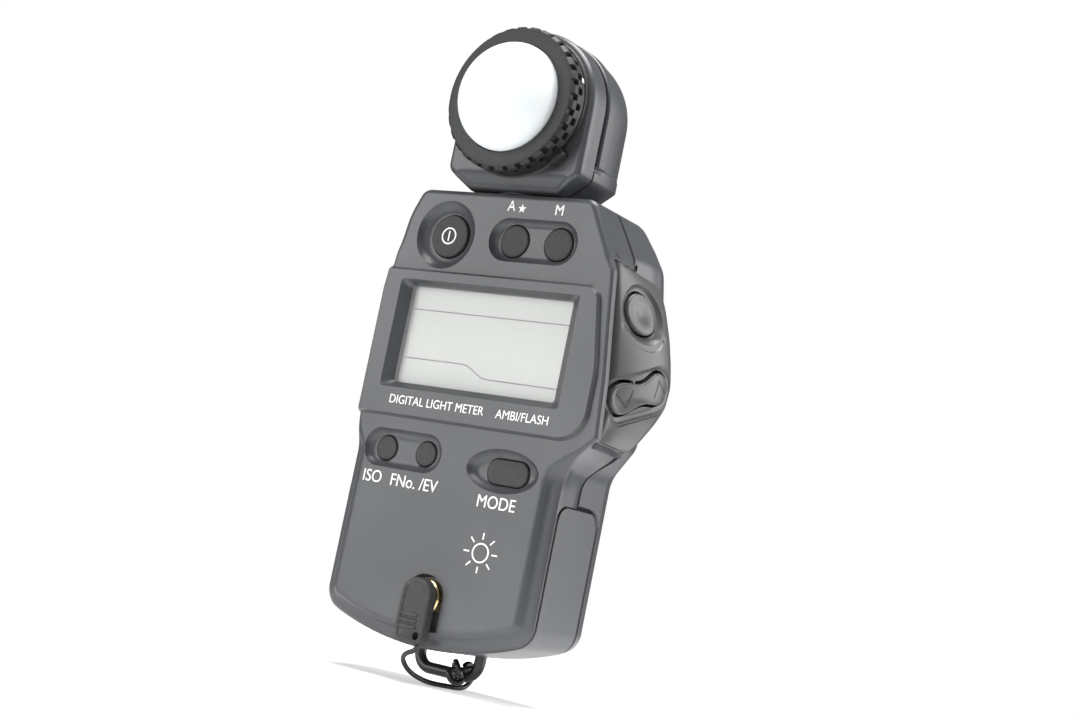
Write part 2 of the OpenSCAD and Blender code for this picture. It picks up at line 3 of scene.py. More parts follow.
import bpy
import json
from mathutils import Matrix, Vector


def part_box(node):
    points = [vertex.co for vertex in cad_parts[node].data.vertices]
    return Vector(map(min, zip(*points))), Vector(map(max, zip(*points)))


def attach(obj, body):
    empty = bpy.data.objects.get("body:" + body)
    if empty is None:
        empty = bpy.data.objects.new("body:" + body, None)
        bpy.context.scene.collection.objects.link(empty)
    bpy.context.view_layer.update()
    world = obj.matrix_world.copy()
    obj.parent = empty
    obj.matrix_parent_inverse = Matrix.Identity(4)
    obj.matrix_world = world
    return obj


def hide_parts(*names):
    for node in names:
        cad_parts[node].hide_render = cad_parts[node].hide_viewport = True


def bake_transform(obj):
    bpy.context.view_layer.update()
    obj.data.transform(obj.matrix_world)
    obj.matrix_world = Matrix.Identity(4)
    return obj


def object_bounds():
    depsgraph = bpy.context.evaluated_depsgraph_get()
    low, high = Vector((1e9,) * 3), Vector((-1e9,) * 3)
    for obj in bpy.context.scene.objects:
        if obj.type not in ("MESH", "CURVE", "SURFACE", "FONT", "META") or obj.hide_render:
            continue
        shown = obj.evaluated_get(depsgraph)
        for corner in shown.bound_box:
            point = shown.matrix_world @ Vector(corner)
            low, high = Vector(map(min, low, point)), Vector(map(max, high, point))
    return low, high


bl_info = {
    "name": "Handheld light meter",
    "version": (1, 0, 0),
    "blender": (4, 5, 0),
    "location": "3D View > Sidebar > Light meter",
    "description": "Builds the finished surfaces of a light meter round its design frame",
    "category": "Add Mesh",
}

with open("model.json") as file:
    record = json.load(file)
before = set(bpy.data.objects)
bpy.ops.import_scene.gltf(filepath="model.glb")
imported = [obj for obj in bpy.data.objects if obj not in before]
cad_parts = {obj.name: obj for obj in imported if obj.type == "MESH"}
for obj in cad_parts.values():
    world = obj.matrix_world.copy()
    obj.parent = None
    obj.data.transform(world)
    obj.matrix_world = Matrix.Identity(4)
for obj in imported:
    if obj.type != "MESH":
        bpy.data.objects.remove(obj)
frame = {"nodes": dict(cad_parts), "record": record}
cad_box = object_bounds()

import json
import math

import bmesh
import bpy
import numpy as np
from bpy.props import FloatProperty, FloatVectorProperty, PointerProperty
from mathutils import Matrix, Vector
from mathutils.geometry import delaunay_2d_cdt

MM = 0.001


def box_mm(node):
    """Lowest and highest corner of a design node, in millimetres."""
    lowest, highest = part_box(node)
    return np.array(lowest) / MM, np.array(highest) / MM


# ---------------------------------------------------------------- places

FACE_Y = -12.0
BACK_Y = 14.0
SEAM_Y = -1.2
DOME_Z = float(sum(box_mm("dome")[i][2] for i in (0, 1)) / 2)
RING_FACE_Y = float(box_mm("dome_ring")[0][1])
PAD_TOP = 37.6
PAD_FRONT_Y = -9.1
PAD_BACK_Y = 8.7
CAP_LOW_Z = 52.75
CAP_HIGH_Z = 94.2
CAP_FRONT_Y = -9.75
CAP_TOP_SLOPE = 0.098
CAP_COVER_Y = 8.2
CUT_WALL_X = 30.2
ROOM_BEHIND_CAP = 4.4
SIDE_WALL, SIDE_BACK_X = 1.6, 34
BODY_SCREW_R, HEAD_SCREW_R = 1.9, 1.6
SUN_X, SUN_Z = 13.0, 23.6
POWER_X = -14.8
FINE_BANDS = ((36.9, 38.5), (52.45, 53.2), (92.2, 94.5))
UPPER_KEY_Z = 96.3
LOWER_KEY_Z = 43.8
SOCKET_Z = 11.3
ROCKER_TILT = math.radians(25)
ROCKER_Y, ROCKER_Z = 0.2, 65.8
ROCKER_HALF, ROCKER_R = 5.2, 3.9
MEASURING_Y, MEASURING_Z = -0.6, 83.8
MEASURING_R = 4.8

CORD_ROUTE = [
    (2.4, -13.9, 0.45), (2.2, -13.9, -0.4), (1.4, -13.9, -1.1), (0.2, -13.7, -1.6),
    (-1.2, -13.0, -2.4), (-2.2, -11.8, -3.4), (-2.6, -10.2, -4.6), (-2.5, -8.4, -5.8),
    (-1.9, -6.4, -6.8), (-1.0, -4.4, -7.5), (0.2, -2.6, -7.9), (1.5, -1.0, -8.0), (2.8, 0.6, -8.0),
    (4.0, 2.2, -8.0), (4.8, 3.9, -7.8), (5.2, 5.4, -7.0), (5.4, 6.3, -5.6), (5.4, 6.4, -4.1),
    (5.3, 5.8, -2.8), (5.2, 4.7, -2.1), (5.1, 3.6, -2.2), (5.0, 2.8, -2.7),
]
KNOT_PLACE = (5.0, 1.2, -4.4)

# Lower edge of the front shell: how far across and how far down it is along its run.
EDGE_STEPS = (0, 0.1, 0.25, 0.4, 0.5, 0.65, 0.8, 0.9, 1)
EDGE_ACROSS = (1, 0.93, 0.8, 0.66, 0.55, 0.3, 0.12, 0.03, 0)
EDGE_FALL = (0, 0.04, 0.22, 0.5, 0.58, 0.64, 0.71, 0.82, 1)


# ---------------------------------------------------------------- flat outlines


def smooth(t):
    """Eases from 0 to 1."""
    t = np.clip(t, 0, 1)
    return t * t * (3 - 2 * t)


def quarter_turn(steps):
    """Angles from 0 to 90 degrees, both ends included."""
    return [math.pi / 2 * k / steps for k in range(steps + 1)]


def densify(path, step):
    """The closed path with extra points so that none lie further apart than step."""
    points = []
    for start, end in zip(path, path[1:] + path[:1]):
        count = max(1, int(math.ceil(np.linalg.norm(end - start) / step)))
        points += [start + (end - start) * i / count for i in range(count)]
    return np.array(points)


def rounded(corners, step=0.5):
    """Closed anticlockwise outline through corners (a, b, radius), with an arc at each corner."""
    path = []
    for i, (a, b, radius) in enumerate(corners):
        corner = np.array([a, b], float)
        back = np.array(corners[i - 1][:2], float) - corner
        ahead = np.array(corners[(i + 1) % len(corners)][:2], float) - corner
        back /= np.linalg.norm(back)
        ahead /= np.linalg.norm(ahead)
        half = math.acos(float(np.clip(back @ ahead, -1, 1))) / 2
        if radius <= 0 or half > 1.565:
            path.append(corner)
            continue
        reach = radius / math.tan(half)
        middle = corner + (back + ahead) / np.linalg.norm(back + ahead) * radius / math.sin(half)
        first = math.atan2(*(corner + back * reach - middle)[::-1])
        last = math.atan2(*(corner + ahead * reach - middle)[::-1])
        turn = (last - first + math.pi) % (2 * math.pi) - math.pi
        count = max(4, int(abs(turn) * radius / step) + 1)
        for k in range(count + 1):
            angle = first + turn * k / count
            path.append(middle + radius * np.array([math.cos(angle), math.sin(angle)]))
    return densify(path, step)


def refined(loop, bands, step):
    """Extra points where the outline passes through the given height bands."""
    points = []
    for start, end in zip(loop, np.roll(loop, -1, 0)):
        middle = (start[1] + end[1]) / 2
        close = any(low < middle < high for low, high in bands)
        count = int(math.ceil(np.linalg.norm(end - start) / step)) if close else 1
        points += [start + (end - start) * i / count for i in range(count)]
    return np.array(points)


def circle(a, b, radius, count=48):
    """Round outline."""
    angles = np.arange(count) * 2 * math.pi / count
    return np.stack([a + radius * np.cos(angles), b + radius * np.sin(angles)], 1)


def oval(a, b, half_a, half_b):
    """Elliptical outline."""
    return circle(0, 0, 1, 72) * [half_a, half_b] + [a, b]


def bar(a, b, width, height, radius, step=0.4):
    """Rectangle with round corners."""
    w, h = width / 2, height / 2
    return rounded([(a - w, b - h, radius), (a + w, b - h, radius), (a + w, b + h, radius),
                    (a - w, b + h, radius)], step)


def inset(loop, distance):
    """The outline moved inward, by one distance or by one for each point."""
    along = np.roll(loop, -1, 0) - np.roll(loop, 1, 0)
    along /= np.linalg.norm(along, axis=1, keepdims=True)
    return loop + np.stack([-along[:, 1], along[:, 0]], 1) * np.reshape(distance, (-1, 1))


def depth_in(points, loop):
    """How far each point lies inside the closed loop; negative outside."""
    best = np.full(len(points), 1e9)
    inside = np.zeros(len(points), bool)
    for start, end in zip(loop, np.roll(loop, -1, 0)):
        edge = end - start
        rel = points - start
        share = np.clip(rel @ edge / (edge @ edge), 0, 1)
        best = np.minimum(best, np.linalg.norm(rel - share[:, None] * edge, axis=1))
        if start[1] != end[1]:
            crosses = (start[1] > points[:, 1]) != (end[1] > points[:, 1])
            at = start[0] + (points[:, 1] - start[1]) * edge[0] / edge[1]
            inside ^= crosses & (points[:, 0] < at)
    return np.where(inside, best, -best)


def fill(boundary, holes, creases, step):
    """Triangles inside boundary and outside holes, with edges along the creases."""
    low, high = boundary.min(0), boundary.max(0)
    columns = np.arange(low[0], high[0], step)
    rows = np.arange(low[1], high[1], step * 0.87)
    grid = np.array([(a + (i % 2) * step / 2, b) for i, b in enumerate(rows) for a in columns])
    keep = depth_in(grid, boundary) > step * 0.5
    for loop in (*holes, *creases):
        keep &= np.abs(depth_in(grid, loop)) > step * 0.35
    for hole in holes:
        keep &= depth_in(grid, hole) < 0
    loops = [boundary, *holes, *creases]
    points = np.concatenate([*loops, grid[keep]])
    edges = []
    first = 0
    for loop in loops:
        edges += [(first + i, first + (i + 1) % len(loop)) for i in range(len(loop))]
        first += len(loop)
    result = delaunay_2d_cdt([Vector(p) for p in points.tolist()], edges, [], 0, 1e-5)
    flat = np.array([tuple(v) for v in result[0]])
    triangles = np.array(result[2])
    middles = flat[triangles].mean(1)
    wanted = depth_in(middles, boundary) > 0
    for hole in holes:
        wanted &= depth_in(middles, hole) < 0
    return flat, triangles[wanted]


# ---------------------------------------------------------------- solid shapes


class Shape:
    """Points and faces in millimetres that become one piece."""

    def __init__(self):
        self.points = []
        self.faces = []

    def add(self, points, faces):
        """Takes in points and the faces between them."""
        first = len(self.points)
        self.points += [tuple(p) for p in np.asarray(points, float)]
        self.faces += [tuple(int(first + i) for i in face) for face in faces]
        return self

    def loft(self, rings):
        """Skin over rings of the same number of points."""
        rings = [np.asarray(ring, float) for ring in rings]
        count = len(rings[0])
        faces = []
        for r in range(len(rings) - 1):
            for i in range(count):
                j = (i + 1) % count
                faces.append((r * count + i, r * count + j, (r + 1) * count + j, (r + 1) * count + i))
        return self.add(np.concatenate(rings), faces)

    def lathe(self, profile, x=0.0, z=0.0, count=128, radius=None):
        """Turns a profile of (radius, y) round the axis along Y through (x, z)."""
        angles = np.arange(count) * 2 * math.pi / count
        rings = []
        for r, y in profile:
            reach = np.full(count, float(r)) if radius is None else radius(float(r), y, angles)
            rings.append(np.stack([x + reach * np.cos(angles), np.full(count, y),
                                   z + reach * np.sin(angles)], 1))
        return self.loft(rings)

    def tube(self, path, radius, count):
        """Round tube along a path, with flat ends."""
        path = np.asarray(path, float)
        along = np.gradient(path, axis=0)
        along /= np.linalg.norm(along, axis=1, keepdims=True)
        side = np.cross(along[0], [0.3, 1.0, 0.1])
        rings = []
        for point, direction in zip(path, along):
            side = side - direction * (side @ direction)
            side /= np.linalg.norm(side)
            up = np.cross(direction, side)
            angles = np.arange(count) * 2 * math.pi / count
            rings.append(point + radius * (np.cos(angles)[:, None] * side
                                           + np.sin(angles)[:, None] * up))
        self.loft(rings)
        for ring in (rings[0], rings[-1]):
            middle = ring.mean(0)
            self.add([middle, *ring], [(0, i + 1, (i + 1) % count + 1) for i in range(count)])
        return self

    def build(self, name, material, body, slot, nodes=(), sharp=32):
        """Makes the object, smooth up to the sharp angle, riding on its body."""
        mesh = bpy.data.meshes.new(name)
        mesh.from_pydata([(x * MM, y * MM, z * MM) for x, y, z in self.points], [], self.faces)
        work = bmesh.new()
        work.from_mesh(mesh)
        bmesh.ops.remove_doubles(work, verts=work.verts, dist=2e-6)
        bmesh.ops.dissolve_degenerate(work, edges=work.edges, dist=1e-7)
        bmesh.ops.recalc_face_normals(work, faces=work.faces)
        work.to_mesh(mesh)
        work.free()
        mesh.shade_smooth()
        mesh.set_sharp_from_angle(angle=math.radians(sharp))
        mesh.materials.append(material)
        piece = bpy.data.objects.new(name, mesh)
        bpy.context.scene.collection.objects.link(piece)
        if body:
            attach(piece, body)
        if nodes:
            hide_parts(*nodes)
        return piece


def rolled_edge(outline, roll, top, steps=6):
    """Rings of an edge that rolls over from top towards +Y."""
    return [front(inset(outline, roll * (1 - math.sin(angle))), top + roll * (1 - math.cos(angle)))
            for angle in quarter_turn(steps)]


def from_depth(y, profile):
    """A lathe profile whose depths are counted from y."""
    return [(radius, y + depth) for radius, depth in profile]


def well_edges(wells):
    """Creases that keep the walls of round wells upright."""
    return [ring for well in wells for ring in (well, inset(well, 0.08))]


def front(points, y):
    """Points of the X-Z plane placed at depth y."""
    return np.stack([points[:, 0], np.broadcast_to(y, len(points)), points[:, 1]], 1)


def plate(boundary, holes, creases, outer, thick, step):
    """Closed sheet: outer(points) gives its Y, and thick its wall towards +Y."""
    flat, triangles = fill(boundary, holes, creases, step)
    shape = Shape()
    shape.add(front(flat, outer(flat)), triangles)
    shape.add(front(flat, outer(flat) + thick), triangles)
    for hole in holes:
        shape.loft([front(hole, outer(hole)), front(hole, outer(hole) + thick)])
    return shape


# ---------------------------------------------------------------- materials


class Value:
    """A shader socket that takes part in Python arithmetic."""

    def __init__(self, graph, socket):
        self.graph = graph
        self.socket = socket

    def _math(self, operation, first, second):
        """One Math node."""
        return self.graph.add("ShaderNodeMath", {"operation": operation}, {0: first, 1: second})

    def __add__(self, other):
        return self._math("ADD", self, other)

    __radd__ = __add__

    def __sub__(self, other):
        return self._math("SUBTRACT", self, other)

    def __rsub__(self, other):
        return self._math("SUBTRACT", other, self)

    def __mul__(self, other):
        return self._math("MULTIPLY", self, other)

    __rmul__ = __mul__

    def ramp(self, low, high):
        """0 at low, 1 at high, eased between them."""
        return self.graph.add("ShaderNodeMapRange", {"interpolation_type": "SMOOTHSTEP"},
                              {"Value": self, "From Min": low, "From Max": high}, "Result")

    def between(self, first, second):
        """Mixes two colours by this value."""
        return self.graph.add("ShaderNodeMix", {"data_type": "RGBA"},
                              {"Factor": self, 6: first, 7: second}, 2)


class Graph:
    """Node tree of one material."""

    def __init__(self, name):
        self.material = bpy.data.materials.new(name)
        self.material.use_nodes = True
        self.tree = self.material.node_tree
        self.tree.nodes.clear()

    def add(self, kind, settings=None, sockets=None, out=0):
        """One node from its type, its settings and its socket values or links."""
        node = self.tree.nodes.new(kind)
        for key, value in (settings or {}).items():
            setattr(node, key, value)
        for key, value in (sockets or {}).items():
            if isinstance(value, Value):
                self.tree.links.new(value.socket, node.inputs[key])
            elif isinstance(value, (tuple, list)) and len(value) == 3 and node.inputs[key].type == "RGBA":
                node.inputs[key].default_value = (*value, 1.0)
            else:
                node.inputs[key].default_value = value
        return Value(self, node.outputs[out])

    def place(self):
        """Object coordinates."""
        return self.add("ShaderNodeTexCoord", out="Object")

    def noise(self, size_mm, detail=3.0, stretch=None):
        """Noise with features of about that size."""
        where = self.place()
        if stretch:
            where = self.add("ShaderNodeMapping", None, {"Vector": where, "Scale": stretch})
        return self.add("ShaderNodeTexNoise", None,
                        {"Vector": where, "Scale": 0.6 / (size_mm * MM), "Detail": detail}, "Fac")

    def finish(self, base, rough, height, relief_mm, **fixed):
        """Closes the tree with a Principled shader and a bump."""
        bump = self.add("ShaderNodeBump", None, {
            "Height": height, "Strength": 1.0, "Distance": relief_mm * MM}, "Normal")
        sockets = {"Base Color": base, "Roughness": rough, "Normal": bump}
        sockets.update({key.replace("_", " "): value for key, value in fixed.items()})
        shader = self.add("ShaderNodeBsdfPrincipled", None, sockets, "BSDF")
        output = self.tree.nodes.new("ShaderNodeOutputMaterial")
        self.tree.links.new(shader.socket, output.inputs["Surface"])
        return self.material


def shade(colour, factor):
    """The colour made lighter or darker."""
    return tuple(min(1.0, channel * factor) for channel in colour)


def moulded(name, colour, rough=0.3, grain_mm=0.16, relief_mm=0.018, mottle=0.10):
    """Spark-eroded moulded plastic: fine grain, faint tone changes and handling shine."""
    g = Graph(name)
    grain = g.noise(grain_mm, 2.0)
    coarse = g.noise(grain_mm * 3.2, 2.0)
    tone = g.noise(14, 4.0)
    rubbed = g.noise(30, 5.0).ramp(0.45, 0.75)
    base = tone.ramp(0.3, 0.7).between(shade(colour, 1 - mottle), shade(colour, 1 + mottle))
    pits = grain * 0.7 + coarse * 0.3
    base = pits.ramp(0.25, 0.5).between(shade(colour, 0.8), base)
    roughness = (rough + 0.07) - rubbed * 0.1 + (grain - 0.5) * 0.12
    return g.finish(base, roughness, pits, relief_mm)


def grooved(name, colour):
    """Side panel plastic, with shade painted darker along its front edge where the groove lies in shadow.
    """
    g = Graph(name)
    grain = g.noise(0.16, 2.0)
    depth = g.add("ShaderNodeSeparateXYZ", None, {0: g.place()}, "Y")
    # Painted shade: the base colour darkens towards the front edge (-Y) in place of the groove's shadow,
    # and the same mask also roughens it.
    groove_shade = (depth * -1).ramp(0.0074, 0.0093)
    tone = g.noise(14, 4.0).ramp(0.3, 0.7)
    base = tone.between(shade(colour, 0.92), shade(colour, 1.08))
    base = groove_shade.between(base, shade(colour, 0.25))
    return g.finish(base, 0.3 + grain * 0.08 + groove_shade * 0.2, grain, 0.012)


def speckled(name, colour):
    """Soft rubber key with pale and dark flecks."""
    g = Graph(name)
    fleck = g.noise(0.18, 2.0)
    dots = fleck.ramp(0.6, 0.72)
    dark = g.noise(0.3, 2.0).ramp(0.6, 0.7)
    base = dots.between(shade(colour, 0.85), shade(colour, 2.1))
    base = dark.between(base, shade(colour, 0.55))
    return g.finish(base, 0.64 - dots * 0.15, fleck, 0.02)


def rubber(name, colour):
    """Matt rubber with dust in its grain and scuffs."""
    g = Graph(name)
    grain = g.noise(0.12, 3.0)
    dust = g.noise(1.1, 5.0).ramp(0.52, 0.75)
    scuff = g.noise(0.5, 3.0, (1.0, 1.0, 7.0)).ramp(0.6, 0.74)
    base = (dust * 0.5).between(colour, shade(colour, 1.9))
    base = (scuff * 0.4).between(base, shade(colour, 2.4))
    return g.finish(base, 0.7 - dust * 0.1, grain, 0.02)


def turned_metal(name, colour, rough=0.25, wear=0.35):
    """Metal with fine tool marks and tarnish."""
    g = Graph(name)
    marks = g.noise(0.08, 2.0, (1.0, 9.0, 1.0))
    tarnish = g.noise(0.8, 4.0).ramp(0.45, 0.75)
    base = (tarnish * wear).between(colour, shade(colour, 0.45))
    return g.finish(base, rough + tarnish * 0.15, marks, 0.0015, Metallic=1.0)


def clear_sheet(name, colour, alpha):
    """Thin clear sheet with faint haze and hairline scratches."""
    g = Graph(name)
    haze = g.noise(9, 4.0)
    scratch = g.noise(0.25, 2.0, (1.0, 1.0, 12.0)).ramp(0.66, 0.72)
    return g.finish(colour, 0.06 + haze * 0.05 + scratch * 0.2, scratch, 0.002,
                    Alpha=alpha + haze * 0.02)


def liquid_crystal(name, colour):
    """Pale display glass with a faint reflector grain."""
    g = Graph(name)
    grain = g.noise(0.4, 2.0)
    cloud = g.noise(12, 3.0)
    base = cloud.between(shade(colour, 0.97), shade(colour, 1.03))
    base = grain.ramp(0.3, 0.7).between(shade(colour, 0.99), base)
    return g.finish(base, 0.4 + grain * 0.05, grain, 0.0002)


def opal(name, colour):
    """Milky white plastic that carries light through, with a faint painted glow from its own emission."""
    g = Graph(name)
    cloud = g.noise(5, 3.0)
    fine = g.noise(0.12, 2.0)
    base = cloud.between(shade(colour, 0.985), colour)
    # The emission is a painted glow: the dome lights itself faintly although it is no lamp.
    return g.finish(base, 0.34 + fine * 0.12, fine, 0.003, Subsurface_Weight=0.25,
                    Subsurface_Scale=0.004, Emission_Color=base, Emission_Strength=0.06)


def braided(name, colour):
    """Glossy black cord with a wound pattern."""
    g = Graph(name)
    strand = g.add("ShaderNodeTexWave", {"bands_direction": "DIAGONAL"},
                   {"Vector": g.place(), "Scale": 900.0, "Distortion": 1.0}, "Fac")
    dirt = g.noise(0.6, 3.0).ramp(0.5, 0.8)
    base = dirt.between(colour, shade(colour, 2.5))
    return g.finish(base, 0.22 + dirt * 0.2, strand, 0.03)


def board(name, colour):
    """Circuit board with copper tracks under its lacquer."""
    g = Graph(name)
    track = g.noise(1.4, 1.0, (1.0, 1.0, 3.0)).ramp(0.5, 0.54)
    base = track.between(colour, shade(colour, 1.8))
    return g.finish(base, 0.35 + track * 0.1, track, 0.02)


def ink(name, colour):
    """Printed ink, slightly worn."""
    g = Graph(name)
    worn = g.noise(0.2, 3.0).ramp(0.3, 0.42)
    base = worn.between(shade(colour, 0.7), colour)
    return g.finish(base, 0.5 + worn * 0.05, worn, 0.002)


class MeterColours(bpy.types.PropertyGroup):
    """Base colours of the finishes."""

    case: FloatVectorProperty(name="Casing", description="Moulded casing", subtype="COLOR",
                              default=(0.056, 0.0585, 0.063))
    side: FloatVectorProperty(name="Side panel", description="Panel with the measuring key",
                              subtype="COLOR", default=(0.066, 0.066, 0.066))
    key: FloatVectorProperty(name="Keys", description="Speckled rubber keys", subtype="COLOR",
                             default=(0.034, 0.034, 0.036))
    ring: FloatVectorProperty(name="Ring", description="Ring that holds the dome",
                              subtype="COLOR", default=(0.013, 0.013, 0.0135))
    cap: FloatVectorProperty(name="Socket cap", description="Rubber cap", subtype="COLOR",
                             default=(0.034, 0.034, 0.035))
    dome: FloatVectorProperty(name="Dome", description="Opal dome", subtype="COLOR",
                              default=(0.9, 0.9, 0.91))
    display: FloatVectorProperty(name="Display", description="Pale display", subtype="COLOR",
                                 default=(0.47, 0.48, 0.455))
    brass: FloatVectorProperty(name="Socket", description="Turned brass socket",
                               subtype="COLOR", default=(0.72, 0.55, 0.28))
    floor: FloatVectorProperty(name="Floor", description="Pale studio floor", subtype="COLOR",
                               default=(0.93, 0.93, 0.93))


class MeterSizes(bpy.types.PropertyGroup):
    """Sizes of the surface detail."""

    panel_rise: FloatProperty(name="Panel rise", description="How far the display panel stands out",
                              default=0.0012, unit="LENGTH")
    dish_depth: FloatProperty(name="Dish depth", description="Depth of the dishes round the keys",
                              default=0.0021, unit="LENGTH")
    seam_gap: FloatProperty(name="Seam gap", description="Gap where two shells meet",
                            default=0.00022, unit="LENGTH")
    key_drop: FloatProperty(name="Key drop", description="How far the key tops lie below the face",
                            default=0.0013, unit="LENGTH")
    notches: FloatProperty(name="Notch depth", description="Depth of the grip notches on the ring",
                           default=0.0009, unit="LENGTH")
    print_height: FloatProperty(name="Print height", description="Thickness of the printed marks",
                                default=0.00003, unit="LENGTH")
    camera_distance: FloatProperty(name="Camera distance", description="From the camera to its target",
                                   default=0.4068, unit="LENGTH")


def sizes():
    """The sizes that a user can change."""
    return bpy.context.scene.meter_sizes


finishes = {}


def make_finishes():
    """One material for each slot of the record, and those for small printed parts."""
    colours = bpy.context.scene.meter_colours
    finishes.update({
        "case": moulded("case_plastic", tuple(colours.case)),
        "side_panel": grooved("side_plastic", tuple(colours.side)),
        "window": clear_sheet("clear_window", (0.9, 0.92, 0.91), 0.10),
        "display": liquid_crystal("display_glass", tuple(colours.display)),
        "inner_plastic": moulded("inner_plastic", (0.03, 0.03, 0.03), 0.5),
        "elastomer": rubber("elastomer", (0.07, 0.07, 0.075)),
        "circuit_board": board("circuit_board", (0.02, 0.12, 0.06)),
        "chip": moulded("chip_epoxy", (0.015, 0.015, 0.017), 0.35),
        "key_rubber": speckled("key_rubber", tuple(colours.key)),
        "side_key": moulded("side_key_rubber", tuple(colours.side), 0.26, 0.2, 0.01),
        "steel": turned_metal("spring_steel", (0.6, 0.6, 0.6)),
        "cell": moulded("cell_sleeve", (0.35, 0.25, 0.06), 0.3),
        "label": moulded("label_foil", (0.33, 0.33, 0.34), 0.3, 0.3, 0.004),
        "screw": turned_metal("black_screw", (0.05, 0.05, 0.05), 0.4),
        "brass": turned_metal("brass", tuple(colours.brass), 0.18, 0.3),
        "cap_rubber": rubber("cap_rubber", tuple(colours.cap)),
        "cord": braided("cord", (0.008, 0.008, 0.008)),
        "eyelet": moulded("eyelet_plastic", (0.012, 0.012, 0.013), 0.28),
        "bushing": moulded("acetal", (0.7, 0.7, 0.67), 0.4),
        "shaft": turned_metal("turned_alloy", (0.45, 0.45, 0.44)),
        "cable": moulded("cable_sleeve", (0.3, 0.3, 0.31), 0.35),
        "filter": clear_sheet("colour_filter", (0.3, 0.5, 0.55), 0.5),
        "ring": moulded("ring_plastic", tuple(colours.ring), 0.5, 0.2, 0.02, 0.08),
        "dome": opal("opal_dome", tuple(colours.dome)),
        "print": ink("white_print", (0.9, 0.9, 0.9)),
        "segment": ink("display_print", (0.09, 0.10, 0.09)),
        "mark": ink("dark_print", (0.012, 0.012, 0.012)),
    })


# ---------------------------------------------------------------- casing


def casing_loop():
    """Rim of the front shell, with the flare that carries the side panel."""
    return refined(rounded([
        (0, -4.56, 75), (29.4, 5.85, 5.5), (29.4, 45.2, 13), (37.3, 53.1, 0.4), (36.2, 67, 40),
        (34.7, 78, 40), (33.0, 91.4, 4), (30.6, 96.2, 6), (24.4, 107.4, 3), (-24.4, 107.4, 3),
        (-27.2, 100.8, 18), (-28.6, 91, 14), (-29.4, 82, 20), (-29.4, 5.85, 5.5)], 0.5),
        FINE_BANDS, 0.12)


def panel_loop():
    """Edge of the raised display panel, which runs off the left side."""
    return rounded([(-34, 51.3, 0), (34.4, 51.3, 7.5), (34.5, 68, 30), (31.0, 87.4, 4.2),
                    (-34, 87.4, 0)], 0.5)


def bezel_loops():
    """Outer and inner edge of the sloping frame round the display."""
    return bar(1.1, 71.4, 50.8, 26.4, 0.7), bar(0.9, 71.65, 45.8, 23.7, 0.9)


def dishes():
    """Each dish as its outline, its depth as a share of the deepest and the run of its wall."""
    return [
        (circle(-15.0, UPPER_KEY_Z, 8.4, 72), 1.0, 3.0),
        (bar(10.0, UPPER_KEY_Z, 24.6, 10.5, 5.2), 0.85, 1.9),
        (bar(-14.4, LOWER_KEY_Z, 22.7, 9.3, 4.6), 0.85, 1.9),
        (oval(14.4, 42.6, 9.9, 5.1), 0.9, 2.4),
        (rounded([(-6.2, -8, 0), (5.4, -8, 0), (5.4, 16.6, 5.2), (-5.4, 16.6, 5.2),
                  (-5.4, 8, 8)]), 0.9, 0.6),
    ]


def key_outlines():
    """Hole outline of each front key."""
    return {
        "power_key": circle(POWER_X, UPPER_KEY_Z, 5.45),
        "average_key": circle(4.0, UPPER_KEY_Z, 4.1),
        "memory_key": circle(16.2, UPPER_KEY_Z, 4.1),
        "film_speed_key": circle(-20.2, LOWER_KEY_Z, 3.15),
        "f_number_key": circle(-8.6, LOWER_KEY_Z, 3.15),
        "mode_key": bar(15.0, 42.5, 11.7, 6.4, 2.9),
    }


def raise_at(points):
    """How far the display panel lifts the face, at each point."""
    return sizes().panel_rise / MM * smooth(depth_in(points, panel_loop()) / 0.7)


def face_height(points):
    """Depth of the front face along Y."""
    y = FACE_Y - raise_at(points)
    outer, inner = bezel_loops()
    into = np.maximum(depth_in(points, outer), 0)
    left = np.maximum(-depth_in(points, inner), 0)
    y = y + 2.2 * into / np.maximum(into + left, 1e-6)
    for loop, share, run in dishes():
        s = np.clip(depth_in(points, loop) / run, 0, 1)
        y = y + sizes().dish_depth / MM * share * (1 - (1 - s) ** 2)
    return y


def rim_width(points):
    """Run of the rolled edge: wide below, narrow beside the display."""
    return 0.9 + 3.0 * smooth((51 - points[:, 1]) / 9) + 0.8 * smooth((points[:, 1] - 90) / 5)


def side_bulge(points, depth):
    """The panel wraps a little round the left edge."""
    z = points[:, 1]
    band = smooth((z - 50.9) / 0.9) * smooth((87.9 - z) / 0.9) * (points[:, 0] < 0)
    moved = points.copy()
    moved[:, 0] -= 0.6 * band * smooth((SEAM_Y - depth) / 3)
    return moved


def shoulder(loop, y):
    """Swells the right shoulder towards the back, and leaves room behind the side panel."""
    moved = loop.copy()
    swell = np.interp(loop[:, 1], [62, 72, 84, 92, 97, 101, 105, 107.4],
                      [0, 1.0, 1.6, 2.0, 2.2, 1.7, 0.7, 0])
    moved[:, 0] += swell * (loop[:, 0] > 12) * smooth((y + 8) / 15)
    hidden = ((loop[:, 0] > 28.5) & (loop[:, 1] > CAP_LOW_Z + 0.8) & (y < CAP_COVER_Y)
              & (loop[:, 1] < CAP_HIGH_Z - 1 - CAP_TOP_SLOPE * (y - CAP_FRONT_Y)))
    moved[hidden, 0] = loop[hidden, 0] - ROOM_BEHIND_CAP
    return moved


def widening(y):
    """Share of its full width that the side panel has reached at depth y."""
    return np.sin(np.pi / 2 * np.clip((y + 9.8) / 17.0, 0, 1)) ** 0.9


def seam_depth(points):
    """Where the front and back shells meet, along Y."""
    x, z = points[:, 0], points[:, 1]
    seam = np.full(len(points), SEAM_Y)
    under_cap = (x > 0) & (z > 41) & (z < CAP_LOW_Z)
    seam = np.where(under_cap, SEAM_Y + 8 * smooth((z - 41) / 11) ** 1.3, seam)
    corner = PAD_FRONT_Y + 4 - np.sqrt(np.maximum(16 - np.clip(z - PAD_TOP + 4, 0, 4) ** 2, 0))
    return np.where(z < PAD_TOP, corner, seam)


